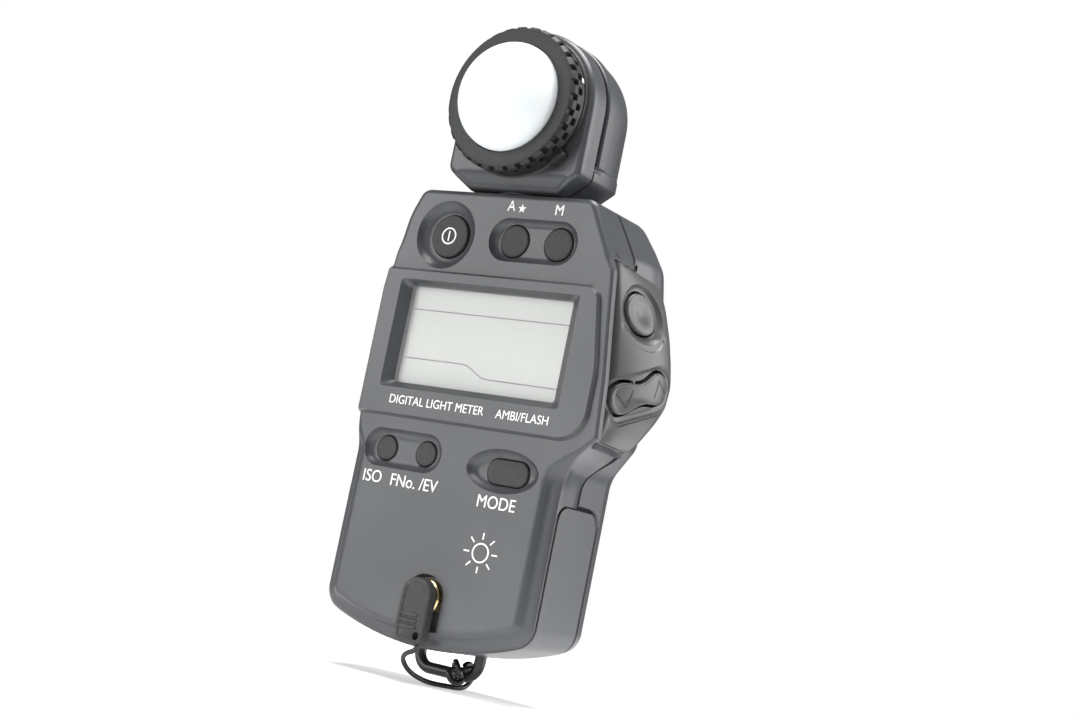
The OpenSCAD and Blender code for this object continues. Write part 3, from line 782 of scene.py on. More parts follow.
def front_shell():
    """Front of the casing, with its openings, dishes and rolled edge."""
    rim = casing_loop()
    width = rim_width(rim)
    face = inset(rim, width)
    deep = 0.75 * width
    cap_side = (rim[:, 0] > 28) & (rim[:, 1] > CAP_LOW_Z) & (rim[:, 1] < CAP_HIGH_Z)
    holes = list(key_outlines().values()) + [bezel_loops()[1], circle(0, SOCKET_Z, 4.4)]
    creases = [inset(panel_loop(), d) for d in (0.02, 0.2, 0.45, 0.7)] + [bezel_loops()[0]]
    for loop, _, run in dishes():
        creases += [inset(loop, d) for d in (0.0, 0.12 * run, 0.3 * run, 0.6 * run, run)]
    shape = plate(face, holes, creases, face_height, 1.5, 0.8)
    seam = seam_depth(rim) - np.where(rim[:, 1] < PAD_TOP, 0.42, sizes().seam_gap / MM)
    steps = 16
    shelf = smooth((48 - rim[:, 1]) / 6)
    rings = []
    for k, angle in enumerate(quarter_turn(steps)):
        along = k / steps
        across = (1 - math.sin(angle)) * (1 - shelf) + shelf * np.interp(along, EDGE_STEPS, EDGE_ACROSS)
        fall = (1 - math.cos(angle)) * (1 - shelf) + shelf * np.interp(along, EDGE_STEPS, EDGE_FALL)
        loop = inset(rim, width * across)
        y = FACE_Y + deep * fall - raise_at(face) * (1 - along)
        rings.append(front(side_bulge(loop, y), y))
    rings[0] = front(face, face_height(face))
    under = (rim[:, 0] > 28) & (rim[:, 1] > 40) & (rim[:, 1] < CAP_LOW_Z)
    flush = np.interp(rim[:, 1], [40, 45, 48, 51, 53.3], [29.4, 29.4, 30.6, 32.3, 34.1])

    def backward(loop, y):
        """Draws the flare in towards the back, level with the side panel."""
        moved = loop.copy()
        moved[:, 0] += np.minimum(flush - moved[:, 0], 0) * (widening(y) * under)
        return moved

    def wall_at(y):
        """Side wall at depth y, cut back where the side panel covers it."""
        loop = shoulder(backward(side_bulge(rim, y), y), y)
        covered = cap_side & (rim[:, 1] < CAP_HIGH_Z - CAP_TOP_SLOPE * (
            np.maximum(y, CAP_FRONT_Y) - CAP_FRONT_Y))
        loop[covered, 0] = CUT_WALL_X
        return loop

    ledge = np.where(cap_side, FACE_Y + 1.9, FACE_Y + deep + 0.2)
    rings.append(front(side_bulge(rim, ledge), ledge))
    for share in (0.0, 0.35, 0.7, 0.95):
        y = ledge + 0.1 + (seam - ledge - 0.1) * share
        rings.append(front(wall_at(y), y))
    rings.append(front(inset(wall_at(seam), 0.18), seam))
    rings.append(front(inset(wall_at(seam), 1.7), seam))
    rings.append(front(inset(wall_at(FACE_Y + deep), np.maximum(width, 1.7)), FACE_Y + deep + 1.6))
    rings.append(front(face, face_height(face) + 1.5))
    shape.loft(rings)
    shape.build("front_shell_skin", finishes["case"], "case", "case", ["front_shell"])


def rear_loop():
    """Outline of the back shell, level with the front shell's edge away from the side panel."""
    return refined(rounded([
        (0, -4.56, 75), (29.4, 5.85, 5.5), (29.4, 46.0, 8), (34.4, 53.9, 6), (35.0, 66, 30),
        (33.6, 84, 20), (30.6, 96.2, 8), (24.4, 107.4, 3), (-24.4, 107.4, 3),
        (-27.2, 100.8, 18), (-28.6, 91, 14), (-29.4, 82, 20), (-29.4, 5.85, 5.5)], 0.5),
        FINE_BANDS, 0.12)


def pad_relief(y, z):
    """Height of the grip pads above the casing, with the groove that runs round them."""
    middle, half, corner = (PAD_FRONT_Y + PAD_BACK_Y) / 2, (PAD_BACK_Y - PAD_FRONT_Y) / 2, 4.0
    a = np.abs(y - middle) - (half - corner)
    b = z - (PAD_TOP - corner)
    inside = corner - np.hypot(np.maximum(a, 0), np.maximum(b, 0)) - np.minimum(np.maximum(a, b), 0)
    return 0.3 * smooth(inside / 0.4) - 1.3 * np.exp(-((inside + 0.28) / 0.32) ** 2)


def back_height(points):
    """Depth of the back face along Y, with its door channel, label seat and screw wells."""
    door_low, door_high = box_mm("battery_door")
    x, z = points[:, 0], points[:, 1]
    y = np.full(len(points), BACK_Y) - 0.8 * smooth((np.abs(x) - 12) / 14)
    channel = smooth((x - door_low[0] + 0.35) / 0.2) * smooth((door_high[0] + 0.35 - x) / 0.2)
    channel = channel * smooth((door_high[2] + 0.5 - z) / 0.2)
    y = np.where(channel > 0, y * (1 - channel) + channel * (door_low[1] - 0.15), y)
    y = np.where(depth_in(points, label_seat(0.3)) > 0, box_mm("back_label")[0][1], y)
    for well in screw_wells():
        y = np.where(depth_in(points, well) > 0, BACK_Y - 1.6, y)
    return y


def label_seat(spare):
    """Outline of the label's seat, larger than the label by spare."""
    low, high = box_mm("back_label")
    return bar((low[0] + high[0]) / 2, (low[2] + high[2]) / 2,
               high[0] - low[0] + spare, high[2] - low[2] + spare, 0.1)


def screw_wells():
    """Wells of the four body screws."""
    low, high = box_mm("body_screws")
    x0, x1 = low[0] + BODY_SCREW_R, high[0] - BODY_SCREW_R
    z0, z1 = low[2] + BODY_SCREW_R, high[2] - BODY_SCREW_R
    return [circle(x, z, 2.15, 36) for x in (x0, x1) for z in (z0, z1)]


def rear_shell():
    """Back of the casing, with its grip pads and rolled edge."""
    rim = rear_loop()
    z = rim[:, 1]
    seam = seam_depth(rim) + np.where(z < PAD_TOP, 0.3, sizes().seam_gap / MM)
    shape = Shape()
    rings = [front(shoulder(inset(rim, into), seam), seam) for into in (1.8, 0.25)]
    last = PAD_BACK_Y + 0.9
    for share in (0.0, 0.01, *np.linspace(0.03, 1, 40)):
        y = seam + 0.12 + (last - seam - 0.12) * share
        rings.append(front(shoulder(inset(rim, -pad_relief(y, z)), y), y))
    door_low, door_high = box_mm("battery_door")
    in_channel = (rim[:, 0] > door_low[0] - 0.2) & (rim[:, 0] < door_high[0] + 0.2) & (z < 20)
    back = shoulder(inset(rim, 2.6), BACK_Y)
    for angle in quarter_turn(8)[1:]:
        y = np.full(len(rim), last + (BACK_Y - last) * math.sin(angle))
        y = np.where(in_channel, np.minimum(y, door_low[1] - 0.15), y)
        rings.append(front(shoulder(inset(rim, 0.1 + 2.5 * (1 - math.cos(angle))), y), y))
    rings[-1] = front(back, back_height(back))
    shape.loft(rings)
    seat = label_seat(0.32)
    creases = [seat, inset(seat, 0.06), *well_edges(screw_wells())]
    for edge in (door_low[0] - 0.35, door_low[0] - 0.15, door_high[0] + 0.15, door_high[0] + 0.35):
        creases.append(densify([np.array([edge, 8.0]), np.array([edge + 0.001, 74.4])], 1.0))
    flat, triangles = fill(back, (), creases, 1.1)
    shape.add(front(flat, back_height(flat)), triangles)
    shape.loft([rings[0], front(inset(rim, 1.8), np.full(len(rim), PAD_BACK_Y)),
                front(inset(rim, 3.4), np.full(len(rim), BACK_Y - 1.8))])
    shape.build("rear_shell_skin", finishes["case"], "case", "case", ["rear_shell"])


# ---------------------------------------------------------------- keys


def key_cap(outline):
    """A key with a faintly crowned top, a rolled edge and straight sides."""
    crown, roll, bottom = 0.15, 0.45, -8.9
    top = FACE_Y + sizes().key_drop / MM
    inner = inset(outline, roll)
    reach = depth_in(inner, outline).max() + float(np.max(depth_in(outline.mean(0)[None], outline)))

    def height(points):
        """Surface of the piece at the points."""
        into = np.maximum(depth_in(points, inner), 0)
        return top - crown * (1 - (1 - np.clip(into / reach, 0, 1)) ** 2)

    flat, triangles = fill(inner, (), (), 0.7)
    shape = Shape().add(front(flat, height(flat)), triangles)
    rings = rolled_edge(outline, roll, top)
    rings[0] = front(inner, height(inner))
    rings.append(front(outline, bottom))
    shape.loft(rings)
    flat, triangles = fill(outline, (), (), 1.2)
    shape.add(front(flat, bottom), triangles)
    return shape


def front_keys():
    """The six keys of the front face."""
    for name, hole in key_outlines().items():
        key_cap(inset(hole, 0.22)).build(f"{name}_cap", finishes["key_rubber"], name, "key_rubber", [name])


# ---------------------------------------------------------------- side panel


def side_reach(y, z):
    """Reach of the side panel along X: narrow at its front edge, widest near its back."""
    front_edge = np.interp(z, [51, 52.8, 53.6, 57.7, 66.7, 78, 84.8, 94],
                           [35.4, 36.9, 37.0, 36.8, 35.7, 34.2, 33.2, 32.0])
    heights = np.arange(47, 96, 0.25)
    line = np.interp(heights, [49, 52.1, 55.5, 60.5, 64.5, 69.5, 74.5, 80.2, 87, 92, 95],
                     [31.2, 32.9, 35.9, 39.2, 41.2, 41.5, 40.5, 39.0, 36.5, 34.1, 32.0])
    kernel = np.hanning(19) / np.hanning(19).sum()
    line = np.convolve(np.pad(line, 9, "edge"), kernel, "valid")
    rear_edge = np.interp(z, heights, line)
    return front_edge + (rear_edge - front_edge) * widening(y) - 2.2 * smooth((y - 7.5) / 6) ** 1.3


def side_outline():
    """Edge of the side panel, as (Y, Z)."""
    low, high = CAP_LOW_Z + 0.1, CAP_HIGH_Z - 0.1
    return rounded([(CAP_FRONT_Y, low, 0.4), (11.6, low, 5), (12.0, 80, 20), (9.5, 92.2, 5),
                    (CAP_FRONT_Y, high, 0.6)], 0.4)


def dogbone(grow):
    """Outline of the rocker: two lobes with a soft waist between them."""
    radius = ROCKER_R + grow
    pinch = 0.31 * ROCKER_R
    arc = np.linspace(-math.pi / 2, math.pi / 2, 22)
    lobe = np.stack([ROCKER_HALF + radius * np.cos(arc), radius * np.sin(arc)], 1)
    u = np.linspace(ROCKER_HALF, -ROCKER_HALF, 24)[1:-1]
    waist = np.stack([u, radius - pinch * np.cos(np.pi * u / (2 * ROCKER_HALF)) ** 2], 1)
    return at_tilt(np.concatenate([lobe, waist, -lobe, -waist]))


def at_tilt(loop):
    """Points of the rocker's own frame placed on the side panel."""
    c, s = math.cos(ROCKER_TILT), math.sin(ROCKER_TILT)
    return np.stack([loop[:, 0] * c - loop[:, 1] * s + ROCKER_Y,
                     loop[:, 0] * s + loop[:, 1] * c + ROCKER_Z], 1)


def rocker_seat():
    """Stadium-shaped hollow that the rocker lies in."""
    return at_tilt(bar(0.1, -0.2, 2 * (ROCKER_HALF + ROCKER_R + 1.7), 2 * (ROCKER_R + 1.7), 5.4))


def rocker_lip():
    """Second, shallower step just below the rocker's hollow."""
    return rocker_seat() + [0.2, -0.7]


def measuring_hollow(count=48):
    """Round hollow that the measuring key lies in."""
    return circle(MEASURING_Y, MEASURING_Z, 6.9, count)


def measuring_lip(count=48):
    """Second, shallower step just below the measuring key's hollow."""
    return circle(MEASURING_Y + 0.2, MEASURING_Z - 0.9, 7.5, count)


def side_height(points):
    """Reach of the side panel along X over (Y, Z), with its rolled edges and hollows."""
    y, z = points[:, 0], points[:, 1]
    x = side_reach(y, z)
    for into, roll in ((y - CAP_FRONT_Y, 2.1), (depth_in(points, side_outline()), 0.22)):
        into = np.clip(into, 0, roll)
        x = x - roll + np.sqrt(np.maximum(roll ** 2 - (roll - into) ** 2, 0))
    s = np.clip(depth_in(points, measuring_hollow()) / 1.9, 0, 1)
    x = x - 1.2 * (1 - (1 - s) ** 2)
    lip = depth_in(points, measuring_lip())
    x = x - 0.35 * smooth(lip / 0.3) * smooth((MEASURING_Z - 3 - z) / 2)
    seat = depth_in(points, rocker_seat())
    s = np.clip(seat / 1.5, 0, 1)
    x = x - 1.0 * (1 - (1 - s) ** 2)
    lower = depth_in(points, rocker_lip())
    below = (points - [ROCKER_Y, ROCKER_Z]) @ [math.sin(ROCKER_TILT), -math.cos(ROCKER_TILT)]
    return x - 0.35 * smooth(lower / 0.3) * smooth((below - 3) / 1.5)


def sideways(points, x):
    """Points of the Y-Z plane placed at reach x."""
    return np.stack([np.broadcast_to(x, len(points)), points[:, 0], points[:, 1]], 1)


def side_panel():
    """Side panel, with the openings of its two keys."""
    edge = side_outline()
    holes = [circle(MEASURING_Y, MEASURING_Z, MEASURING_R + 0.45, 64), dogbone(0.45)]
    creases = [inset(edge, d) for d in (0.08, 0.22)]
    for into in (0.1, 0.3, 0.6, 1.0, 1.5, 2.1):
        creases.append(np.array([(CAP_FRONT_Y + into, z) for z in np.arange(52.9, 93.2, 0.7)]
                                + [(-9.74 + into, z) for z in np.arange(92.85, 53, -0.7)]))
    for loop, runs in ((measuring_hollow(64), (0, 0.3, 0.8, 1.3)), (measuring_lip(64), (0, 0.3)),
                       (rocker_seat(), (0, 0.3, 0.8)), (rocker_lip(), (0, 0.3))):
        creases += [inset(loop, d) for d in runs]
    flat, triangles = fill(edge, holes, creases, 0.7)

    def inner_side(x):
        """Reach of the panel's inner face."""
        return np.minimum(x - SIDE_WALL, SIDE_BACK_X)

    shape = Shape()
    x = side_height(flat)
    shape.add(sideways(flat, x), triangles)
    shape.add(sideways(flat, inner_side(x)), triangles)
    base = 30.6
    outer = side_height(edge)
    shape.loft([sideways(edge, outer), sideways(edge, np.full(len(edge), base)),
                sideways(inset(edge, 1.5), np.full(len(edge), base)),
                sideways(edge, inner_side(outer))])
    for hole in holes:
        reach = side_height(hole)
        shape.loft([sideways(hole, reach), sideways(hole, inner_side(reach))])
    shape.build("side_panel_skin", finishes["side_panel"], "case", "side_panel", ["side_cap"])


def side_key(outline, drop, crown, body, nodes, name, dip, depth):
    """A key that lies drop below the side panel's surface and reaches depth further in."""
    roll = 0.55
    inner = inset(outline, roll)
    centre = outline.mean(0)
    reach = float(np.linalg.norm(outline - centre, axis=1).max())

    def height(points):
        """Surface of the piece at the points."""
        away = np.linalg.norm(points - centre, axis=1)
        x = side_reach(points[:, 0], points[:, 1])
        return x - drop + crown * (1 - (away / reach) ** 2) - dip * np.exp(-(away / 2.6) ** 2)

    flat, triangles = fill(inner, (), (), 0.6)
    shape = Shape().add(sideways(flat, height(flat)), triangles)
    rings = [sideways(inset(outline, roll * (1 - math.sin(angle))),
                      height(inner) - roll * (1 - math.cos(angle))) for angle in quarter_turn(6)]
    rings[0] = sideways(inner, height(inner))
    floor = np.full(len(outline), float(height(inner).min()) - depth)
    rings.append(sideways(outline, floor))
    shape.loft(rings)
    flat, triangles = fill(outline, (), (), 1.2)
    shape.add(sideways(flat, np.full(len(flat), floor[0])), triangles)
    shape.build(name, finishes["side_key"], body, "key_rubber", nodes)
    return height


def chevron(height, middle, angle, reach, body, name):
    """Dark arrow on a key: two thin bars that meet in a point."""
    shape = Shape()
    tip = np.array([math.cos(angle), math.sin(angle)])
    across = np.array([-tip[1], tip[0]])
    half = 0.2
    for side in (-1, 1):
        start = np.array(middle) + tip * reach * 0.55
        end = np.array(middle) - tip * reach * 0.45 + across * side * reach * 0.62
        line = np.array([start + (end - start) * t for t in np.linspace(-0.06, 1, 12)])
        way = (end - start) / np.linalg.norm(end - start)
        normal = np.array([-way[1], way[0]]) * half
        loop = np.concatenate([line - normal, (line + normal)[::-1]])
        flat, triangles = fill(loop, (), (), 0.4)
        shape.add(sideways(flat, height(flat) + 0.02), triangles)
        edge = height(loop) + 0.02
        shape.loft([sideways(loop, edge), sideways(loop, edge - 0.06)])
    shape.build(name, finishes["mark"], body, "key_rubber")


def side_keys():
    """Measuring key, rocker and the arrows on it."""
    side_key(circle(MEASURING_Y, MEASURING_Z, MEASURING_R - 0.05, 64), 0.6, 0.5, "measuring_key",
             ["measuring_key"], "measuring_key_cap", 0.9, 1.2)
    height = side_key(dogbone(-0.25), 0.45, 0.3, "rocker", ["rocker_key"], "rocker_cap", 0.0, 2.0)
    c, s = math.cos(ROCKER_TILT), math.sin(ROCKER_TILT)
    for sign, name in ((-1, "down_arrow"), (1, "up_arrow")):
        middle = (ROCKER_Y + sign * ROCKER_HALF * c, ROCKER_Z + sign * ROCKER_HALF * s)
        chevron(height, middle, ROCKER_TILT + sign * math.pi / 2, 3.5, "rocker", name)


# ---------------------------------------------------------------- head


def head_loop():
    """Outline of the head."""
    return refined(rounded([(-12.6, 108.2, 1.5), (12.6, 108.2, 1.5), (18.8, 112.9, 2.5),
                            (18.8, 147.5, 18.75), (-18.8, 147.5, 18.75), (-18.8, 112.9, 2.5)], 0.5),
                   ((115, 117.4),), 0.15)


def head_face(points):
    """Depth of the front of the head, which slopes back at its foot."""
    return FACE_Y + 0.7 * np.maximum(112.4 - points[:, 1], 0)


def head_front():
    """Front shell of the head, with the collar that it turns on."""
    rim = head_loop()
    width = 1.5
    face = inset(rim, width)
    opening = circle(0, DOME_Z, 11.3, 72)
    shape = plate(face, [opening], [inset(face, 0.4)], head_face, 1.4, 1.1)
    seam = box_mm("head_front_shell")[1][1] - sizes().seam_gap / MM
    rings = rolled_edge(rim, width, head_face(face), 8)
    start = head_face(face) + 1.5
    for share in (0.3, 0.7, 0.97):
        rings.append(front(rim, start + (seam - start) * share))
    rings[-1] = front(rim, np.full(len(rim), seam - 0.3))
    rings.append(front(inset(rim, 0.22), np.full(len(rim), seam)))
    rings.append(front(inset(rim, 1.5), np.full(len(rim), seam)))
    rings.append(front(face, head_face(face) + 1.4))
    shape.loft(rings)
    collar = Shape().lathe([(4.3, 0.2), (9.4, 0.2), (9.5, 0.5), (8.0, 1.2), (7.0, 2.2), (6.6, 3.4),
                            (4.3, 3.4), (4.3, 0.2)])
    placed = [(x, -z, y + 107.75) for x, y, z in collar.points]
    shape.add(placed, collar.faces)
    shape.build("head_front_skin", finishes["case"], "head", "case", ["head_front_shell"])


def head_rear():
    """Back shell of the head, with its raised band."""
    rim = head_loop()
    z = rim[:, 1]
    low, high = box_mm("head_rear_shell")
    seam = low[1] + sizes().seam_gap / MM
    band = smooth((z - 116.4) / 0.5)
    notch = np.exp(-(((z - 116.0) / 0.45) ** 2)) * 0.7
    shape = Shape()
    count = len(rim)
    rings = [front(inset(rim, 1.6), np.full(count, seam)),
             front(inset(rim, 0.2 + 1.1 * band + notch), np.full(count, seam)),
             front(inset(rim, 0.1 + 1.2 * band + notch), seam + 0.05 + 0.4 * band),
             front(inset(rim, 0.1 - 0.1 * band + notch), seam + 0.1 + 0.45 * band),
             front(inset(rim, -0.28 * band + notch * 0.8), np.full(count, seam + 0.85)),
             front(inset(rim, -0.3 * band + notch * 0.3), np.full(count, seam + 2.4)),
             front(inset(rim, -0.28 * band), np.full(count, seam + 3.8)),
             front(inset(rim, 0.25 * band), np.full(count, seam + 4.3))]
    start = seam + 4.3
    for angle in quarter_turn(10)[1:]:
        y = start + (high[1] - start) * math.sin(angle) ** 0.85
        rings.append(front(inset(rim, 0.25 * band + 4.2 * (1 - math.cos(angle))), np.full(count, y)))
    back = inset(rim, 0.25 * band + 4.2)
    wells = head_wells()
    rings[-1] = front(back, np.full(count, high[1]))
    shape.loft(rings)

    def height(points):
        """Surface of the piece at the points."""
        y = np.full(len(points), high[1])
        for well in wells:
            y = np.where(depth_in(points, well) > 0, high[1] - 1.4, y)
        return y

    flat, triangles = fill(back, (), well_edges(wells), 1.1)
    shape.add(front(flat, height(flat)), triangles)
    shape.loft([rings[0], front(inset(rim, 1.9), np.full(count, 2.0)),
                front(inset(rim, 5.0), np.full(count, high[1] - 1.8))])
    shape.build("head_rear_skin", finishes["case"], "head", "case", ["head_rear_shell"])


def head_wells():
    """Wells of the three head screws."""
    low, high = box_mm("head_screws")
    foot = low[2] + HEAD_SCREW_R
    return [circle(x, z, 1.85, 32) for x, z in ((low[0] + HEAD_SCREW_R, foot),
                                                (high[0] - HEAD_SCREW_R, foot),
                                                (0, high[2] - HEAD_SCREW_R))]


# ---------------------------------------------------------------- receptor


def bayonet():
    """Flange that takes the ring, with its index tab and printed mark."""
    shape = Shape().lathe(from_depth(FACE_Y, [
        (11.0, 0), (11.0, -5.5), (14.1, -5.5), (14.1, -2.5), (16.5, -2.5), (16.9, -2.35),
        (17.1, -2.0), (17.1, -1.3), (16.85, -1.2), (16.85, -1.0), (17.25, -0.9), (17.3, -0.3),
        (17.6, -0.02), (17.6, 0.1), (11.0, 0)]), 0, DOME_Z, 180)
    tab = bar(0, 0, 4.4, 3.2, 0.5)
    tab_r, mark_r = 17.4, 17.05
    c, s = math.cos(math.radians(-44)), math.sin(math.radians(-44))
    rings = []
    for shrink, y in ((0.0, FACE_Y), (0.0, FACE_Y - 2.2), (0.2, FACE_Y - 2.6), (0.7, FACE_Y - 2.75)):
        loop = inset(tab, shrink)
        x = c * (tab_r + loop[:, 1]) - s * loop[:, 0]
        z = DOME_Z + s * (tab_r + loop[:, 1]) + c * loop[:, 0]
        rings.append(np.stack([x, np.full(len(loop), y), z], 1))
    shape.loft(rings)
    shape.add(rings[-1], [tuple(range(len(tab)))])
    shape.build("bayonet_flange", finishes["ring"], "head", "ring", ["bayonet_base"])
    mark = Shape()
    angle = math.radians(21)
    centre = np.array([mark_r * math.cos(angle), FACE_Y - 1.75, DOME_Z + mark_r * math.sin(angle)])
    out = np.array([math.cos(angle), 0, math.sin(angle)])
    side = np.array([-math.sin(angle), 0, math.cos(angle)])
    along = np.array([0, 1.0, 0])
    corners = [(a, b, h) for h in (0.0, 0.12) for a, b in ((-1, -1), (1, -1), (1, 1), (-1, 1))]
    mark.add([centre + side * a * 0.55 + along * b * 0.42 + out * h for a, b, h in corners],
             [(0, 1, 2, 3), (4, 5, 6, 7), (0, 1, 5, 4), (1, 2, 6, 5), (2, 3, 7, 6), (3, 0, 4, 7)])
    mark.build("index_mark", finishes["print"], "head", "ring")


def ring_radius(radius, y, angles):
    """Rim with two staggered rows of notches."""
    reach = np.full(len(angles), radius)
    if radius < 16.95:
        return reach
    columns = np.floor(angles / (2 * math.pi) * 480).astype(int) % 16
    notched = np.zeros(len(angles), bool)
    if RING_FACE_Y + 0.15 < y < RING_FACE_Y + 2.15:
        notched = (columns >= 1) & (columns <= 6)
    if RING_FACE_Y + 2.25 < y < RING_FACE_Y + 3.95:
        notched = (columns >= 9) & (columns <= 14)
    return np.where(notched, 17.6 - sizes().notches / MM, reach)


def dome_ring():
    """Ring that holds the dome."""
    profile = from_depth(RING_FACE_Y, [
        (14.6, 4.2), (14.6, 2.4), (13.25, 2.2), (13.25, 0.25), (13.4, 0.05), (13.6, 0), (16.6, 0),
        (16.8, 0.05), (16.94, 0.12), (17.0, 0.2), (17.45, 0.75), (17.6, 1.05), (17.6, 2.05),
        (17.6, 2.2), (17.6, 2.35), (17.6, 3.0), (17.6, 3.8), (17.6, 4.0), (17.5, 4.15), (17.2, 4.2),
        (14.6, 4.2)])
    shape = Shape().lathe(profile, 0, DOME_Z, 480, ring_radius)
    shape.build("dome_ring_skin", finishes["ring"], "receptor", "ring", ["dome_ring"], 30)


def dome():
    """Hollow opal dome."""
    low, high = box_mm("dome")
    radius = (high[0] - low[0]) / 2
    foot = high[1]
    height = foot - low[1] - 1.7
    profile = [(radius, foot + 0.6)]
    for angle in quarter_turn(40):
        profile.append((max(radius * math.cos(angle), 0.001), foot - 0.2 - height * math.sin(angle)))
    inner = [(max(r - 1.3, 0.001), y + 1.3 * (1 - r / radius) + 0.05) for r, y in profile[::-1]]
    shape = Shape().lathe(profile + inner + [profile[0]], 0, DOME_Z, 160)
    shape.build("opal_dome", finishes["dome"], "receptor", "dome", ["dome"])


# ---------------------------------------------------------------- socket, cap, cord


def sync_sleeve():
    """Turned sleeve of the sync socket."""
    profile = from_depth(FACE_Y, [
        (1.75, 1.4), (1.75, -1.35), (2.0, -1.6), (2.85, -1.6), (3.1, -1.35), (3.1, -0.2), (3.3, -0.15),
        (3.4, -0.2), (4.0, -0.2), (4.3, 0.1), (4.3, 3), (2.5, 3), (2.5, 1.4), (1.75, 1.4)])
    shape = Shape().lathe(profile, 0, SOCKET_Z, 96)
    shape.build("socket_sleeve", finishes["brass"], "case", "brass", ["sync_sleeve"], 25)


def sync_cap():
    """Rubber cap of the socket, with its ribs and cord hole."""
    low, high = box_mm("sync_cap")
    half = 4.05
    rim = rounded([(-half, low[2], 1.6), (half, low[2], 2.2), (half, high[2], half - 0.02),
                   (-half, high[2], half - 0.02)], 0.3)
    face_y, roll = FACE_Y - 3.4, 0.6
    cord_hole = (2.0, 2.4)
    hole = circle(*cord_hole, 0.95, 28)
    ribs = [bar(-0.7, z, 4.6, 0.62, 0.3, 0.2) for z in (7.0, 5.6, 4.2)]

    def outer(points):
        """Depth of the cap's front, with its ribs, lip and scooped hole."""
        y = np.full(len(points), face_y)
        for rib in ribs:
            y = y - 0.4 * smooth((depth_in(points, rib) + 0.25) / 0.35)
        lip = depth_in(points, inset(rim, 0.95))
        y = y + 0.35 * smooth(lip / 0.35)
        scoop = np.linalg.norm(points - cord_hole, axis=1)
        return y + 0.5 * np.exp(-(scoop / 1.5) ** 2)

    face = inset(rim, roll)
    creases = [inset(rim, d) for d in (0.95, 1.3)] + [inset(rib, -0.2) for rib in ribs] + ribs
    flat, triangles = fill(face, [hole], creases, 0.5)
    shape = Shape().add(front(flat, outer(flat)), triangles)
    rings = rolled_edge(rim, roll, face_y)
    rings[0] = front(face, outer(face))
    back_y = high[1]
    rings += [front(rim, back_y - 0.3), front(inset(rim, 0.25), back_y)]
    shape.loft(rings)
    hood = circle(0, SOCKET_Z - 0.1, 3.5, 48)

    def back(points):
        """Depth of the cap's back, with the hollow that takes the sleeve."""
        return np.where(depth_in(points, hood) > 0.02, back_y - 2.0, back_y)

    base = inset(rim, 0.25)
    flat, triangles = fill(base, [hole], [hood, inset(hood, 0.08)], 0.8)
    shape.add(front(flat, back(flat)), triangles)
    shape.loft([front(hole, outer(hole)), front(hole, back(hole))])
    shape.build("socket_cap", finishes["cap_rubber"], "sync_cap", "cap_rubber", ["sync_cap"])


def eyelet():
    """Strap loop below the casing."""
    y = 3.6
    left, right = np.linspace(0.1, math.pi / 2, 12), np.linspace(0, math.pi / 2 - 0.1, 12)
    path = [(-8.6, y, 2.5), (-8.6, y, -1.2),
            *((-5.0 - 3.6 * math.cos(a), y, -1.3 - 3.75 * math.sin(a)) for a in left),
            *((x, y, -5.05) for x in np.linspace(-4, 4, 9)),
            *((5.0 + 3.6 * math.sin(a), y, -1.3 - 3.75 * math.cos(a)) for a in right),
            (8.6, y, -1.2), (8.6, y, 2.5)]
    Shape().tube(path, 1.42, 24).build("strap_loop", finishes["eyelet"], "case", "eyelet",
                                       ["strap_eyelet"], 50)


def through(points):
    """Smooth curve through the points."""
    per_leg = 6
    points = [np.array(p, float) for p in points]
    padded = [2 * points[0] - points[1], *points, 2 * points[-1] - points[-2]]
    curve = []
    for p0, p1, p2, p3 in zip(padded, padded[1:], padded[2:], padded[3:]):
        for i in range(per_leg):
            t = i / per_leg
            curve.append(0.5 * (2 * p1 + (p2 - p0) * t + (2 * p0 - 5 * p1 + 4 * p2 - p3) * t * t
                                + (3 * p1 - p0 - 3 * p2 + p3) * t ** 3))
    curve.append(points[-1])
    return np.array(curve)


def knot_path():
    """Closed path of the tied knot."""
    x, y, z = KNOT_PLACE
    path = []
    for t in np.linspace(0, 2 * math.pi, 120, endpoint=False):
        ring = (1.25 + 0.62 * math.cos(3 * t)) * 1.35
        path.append((x + 1.5 * math.sin(3 * t) + 0.8 * math.cos(t), y + ring * math.cos(2 * t),
                     z + ring * math.sin(2 * t)))
    return path + [path[0]]


def cord():
    """Lanyard from the cap to its knot on the strap loop."""
    line = through(CORD_ROUTE)
    radius = 0.6
    piece = Shape().tube(line, radius, 14).build("cap_lanyard", finishes["cord"], None, "cord",
                                                  ["cap_cord"], 60)
    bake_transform(piece)
    knot = Shape().tube(knot_path(), 0.68, 12).build("lanyard_knot", finishes["cord"], "case", "cord",
                                                     ["cord_knot"], 60)


# ---------------------------------------------------------------- printed marks


def lettering(name, words, x, z, y, size):
    """Plain letters printed on the casing's front, a little narrowed."""
    curve = bpy.data.curves.new(name, "FONT")
    curve.body = words
    curve.align_x = "CENTER"
    curve.align_y = "CENTER"
    curve.size = size * MM
    curve.extrude = sizes().print_height
    curve.materials.append(finishes["print"])
    piece = bpy.data.objects.new(name, curve)
    bpy.context.scene.collection.objects.link(piece)
    piece.rotation_euler = (math.pi / 2, 0, 0)
    piece.scale = (0.92, 1, 1)
    piece.location = (x * MM, y * MM, z * MM)
    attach(piece, "case")


def flat_mark(name, loops, y, material, body, slot="case"):
    """Thin printed shapes on a face that looks towards -Y."""
    shape = Shape()
    for outer, inner in loops:
        holes = [inner] if inner is not None else []
        flat, triangles = fill(outer, holes, (), 0.5)
        shape.add(front(flat, y), triangles)
        for loop in (outer, *holes):
            shape.loft([front(loop, y), front(loop, y + 0.06)])
        shape.add(front(flat, y + 0.06), triangles)
    shape.build(name, finishes[material], body, slot)


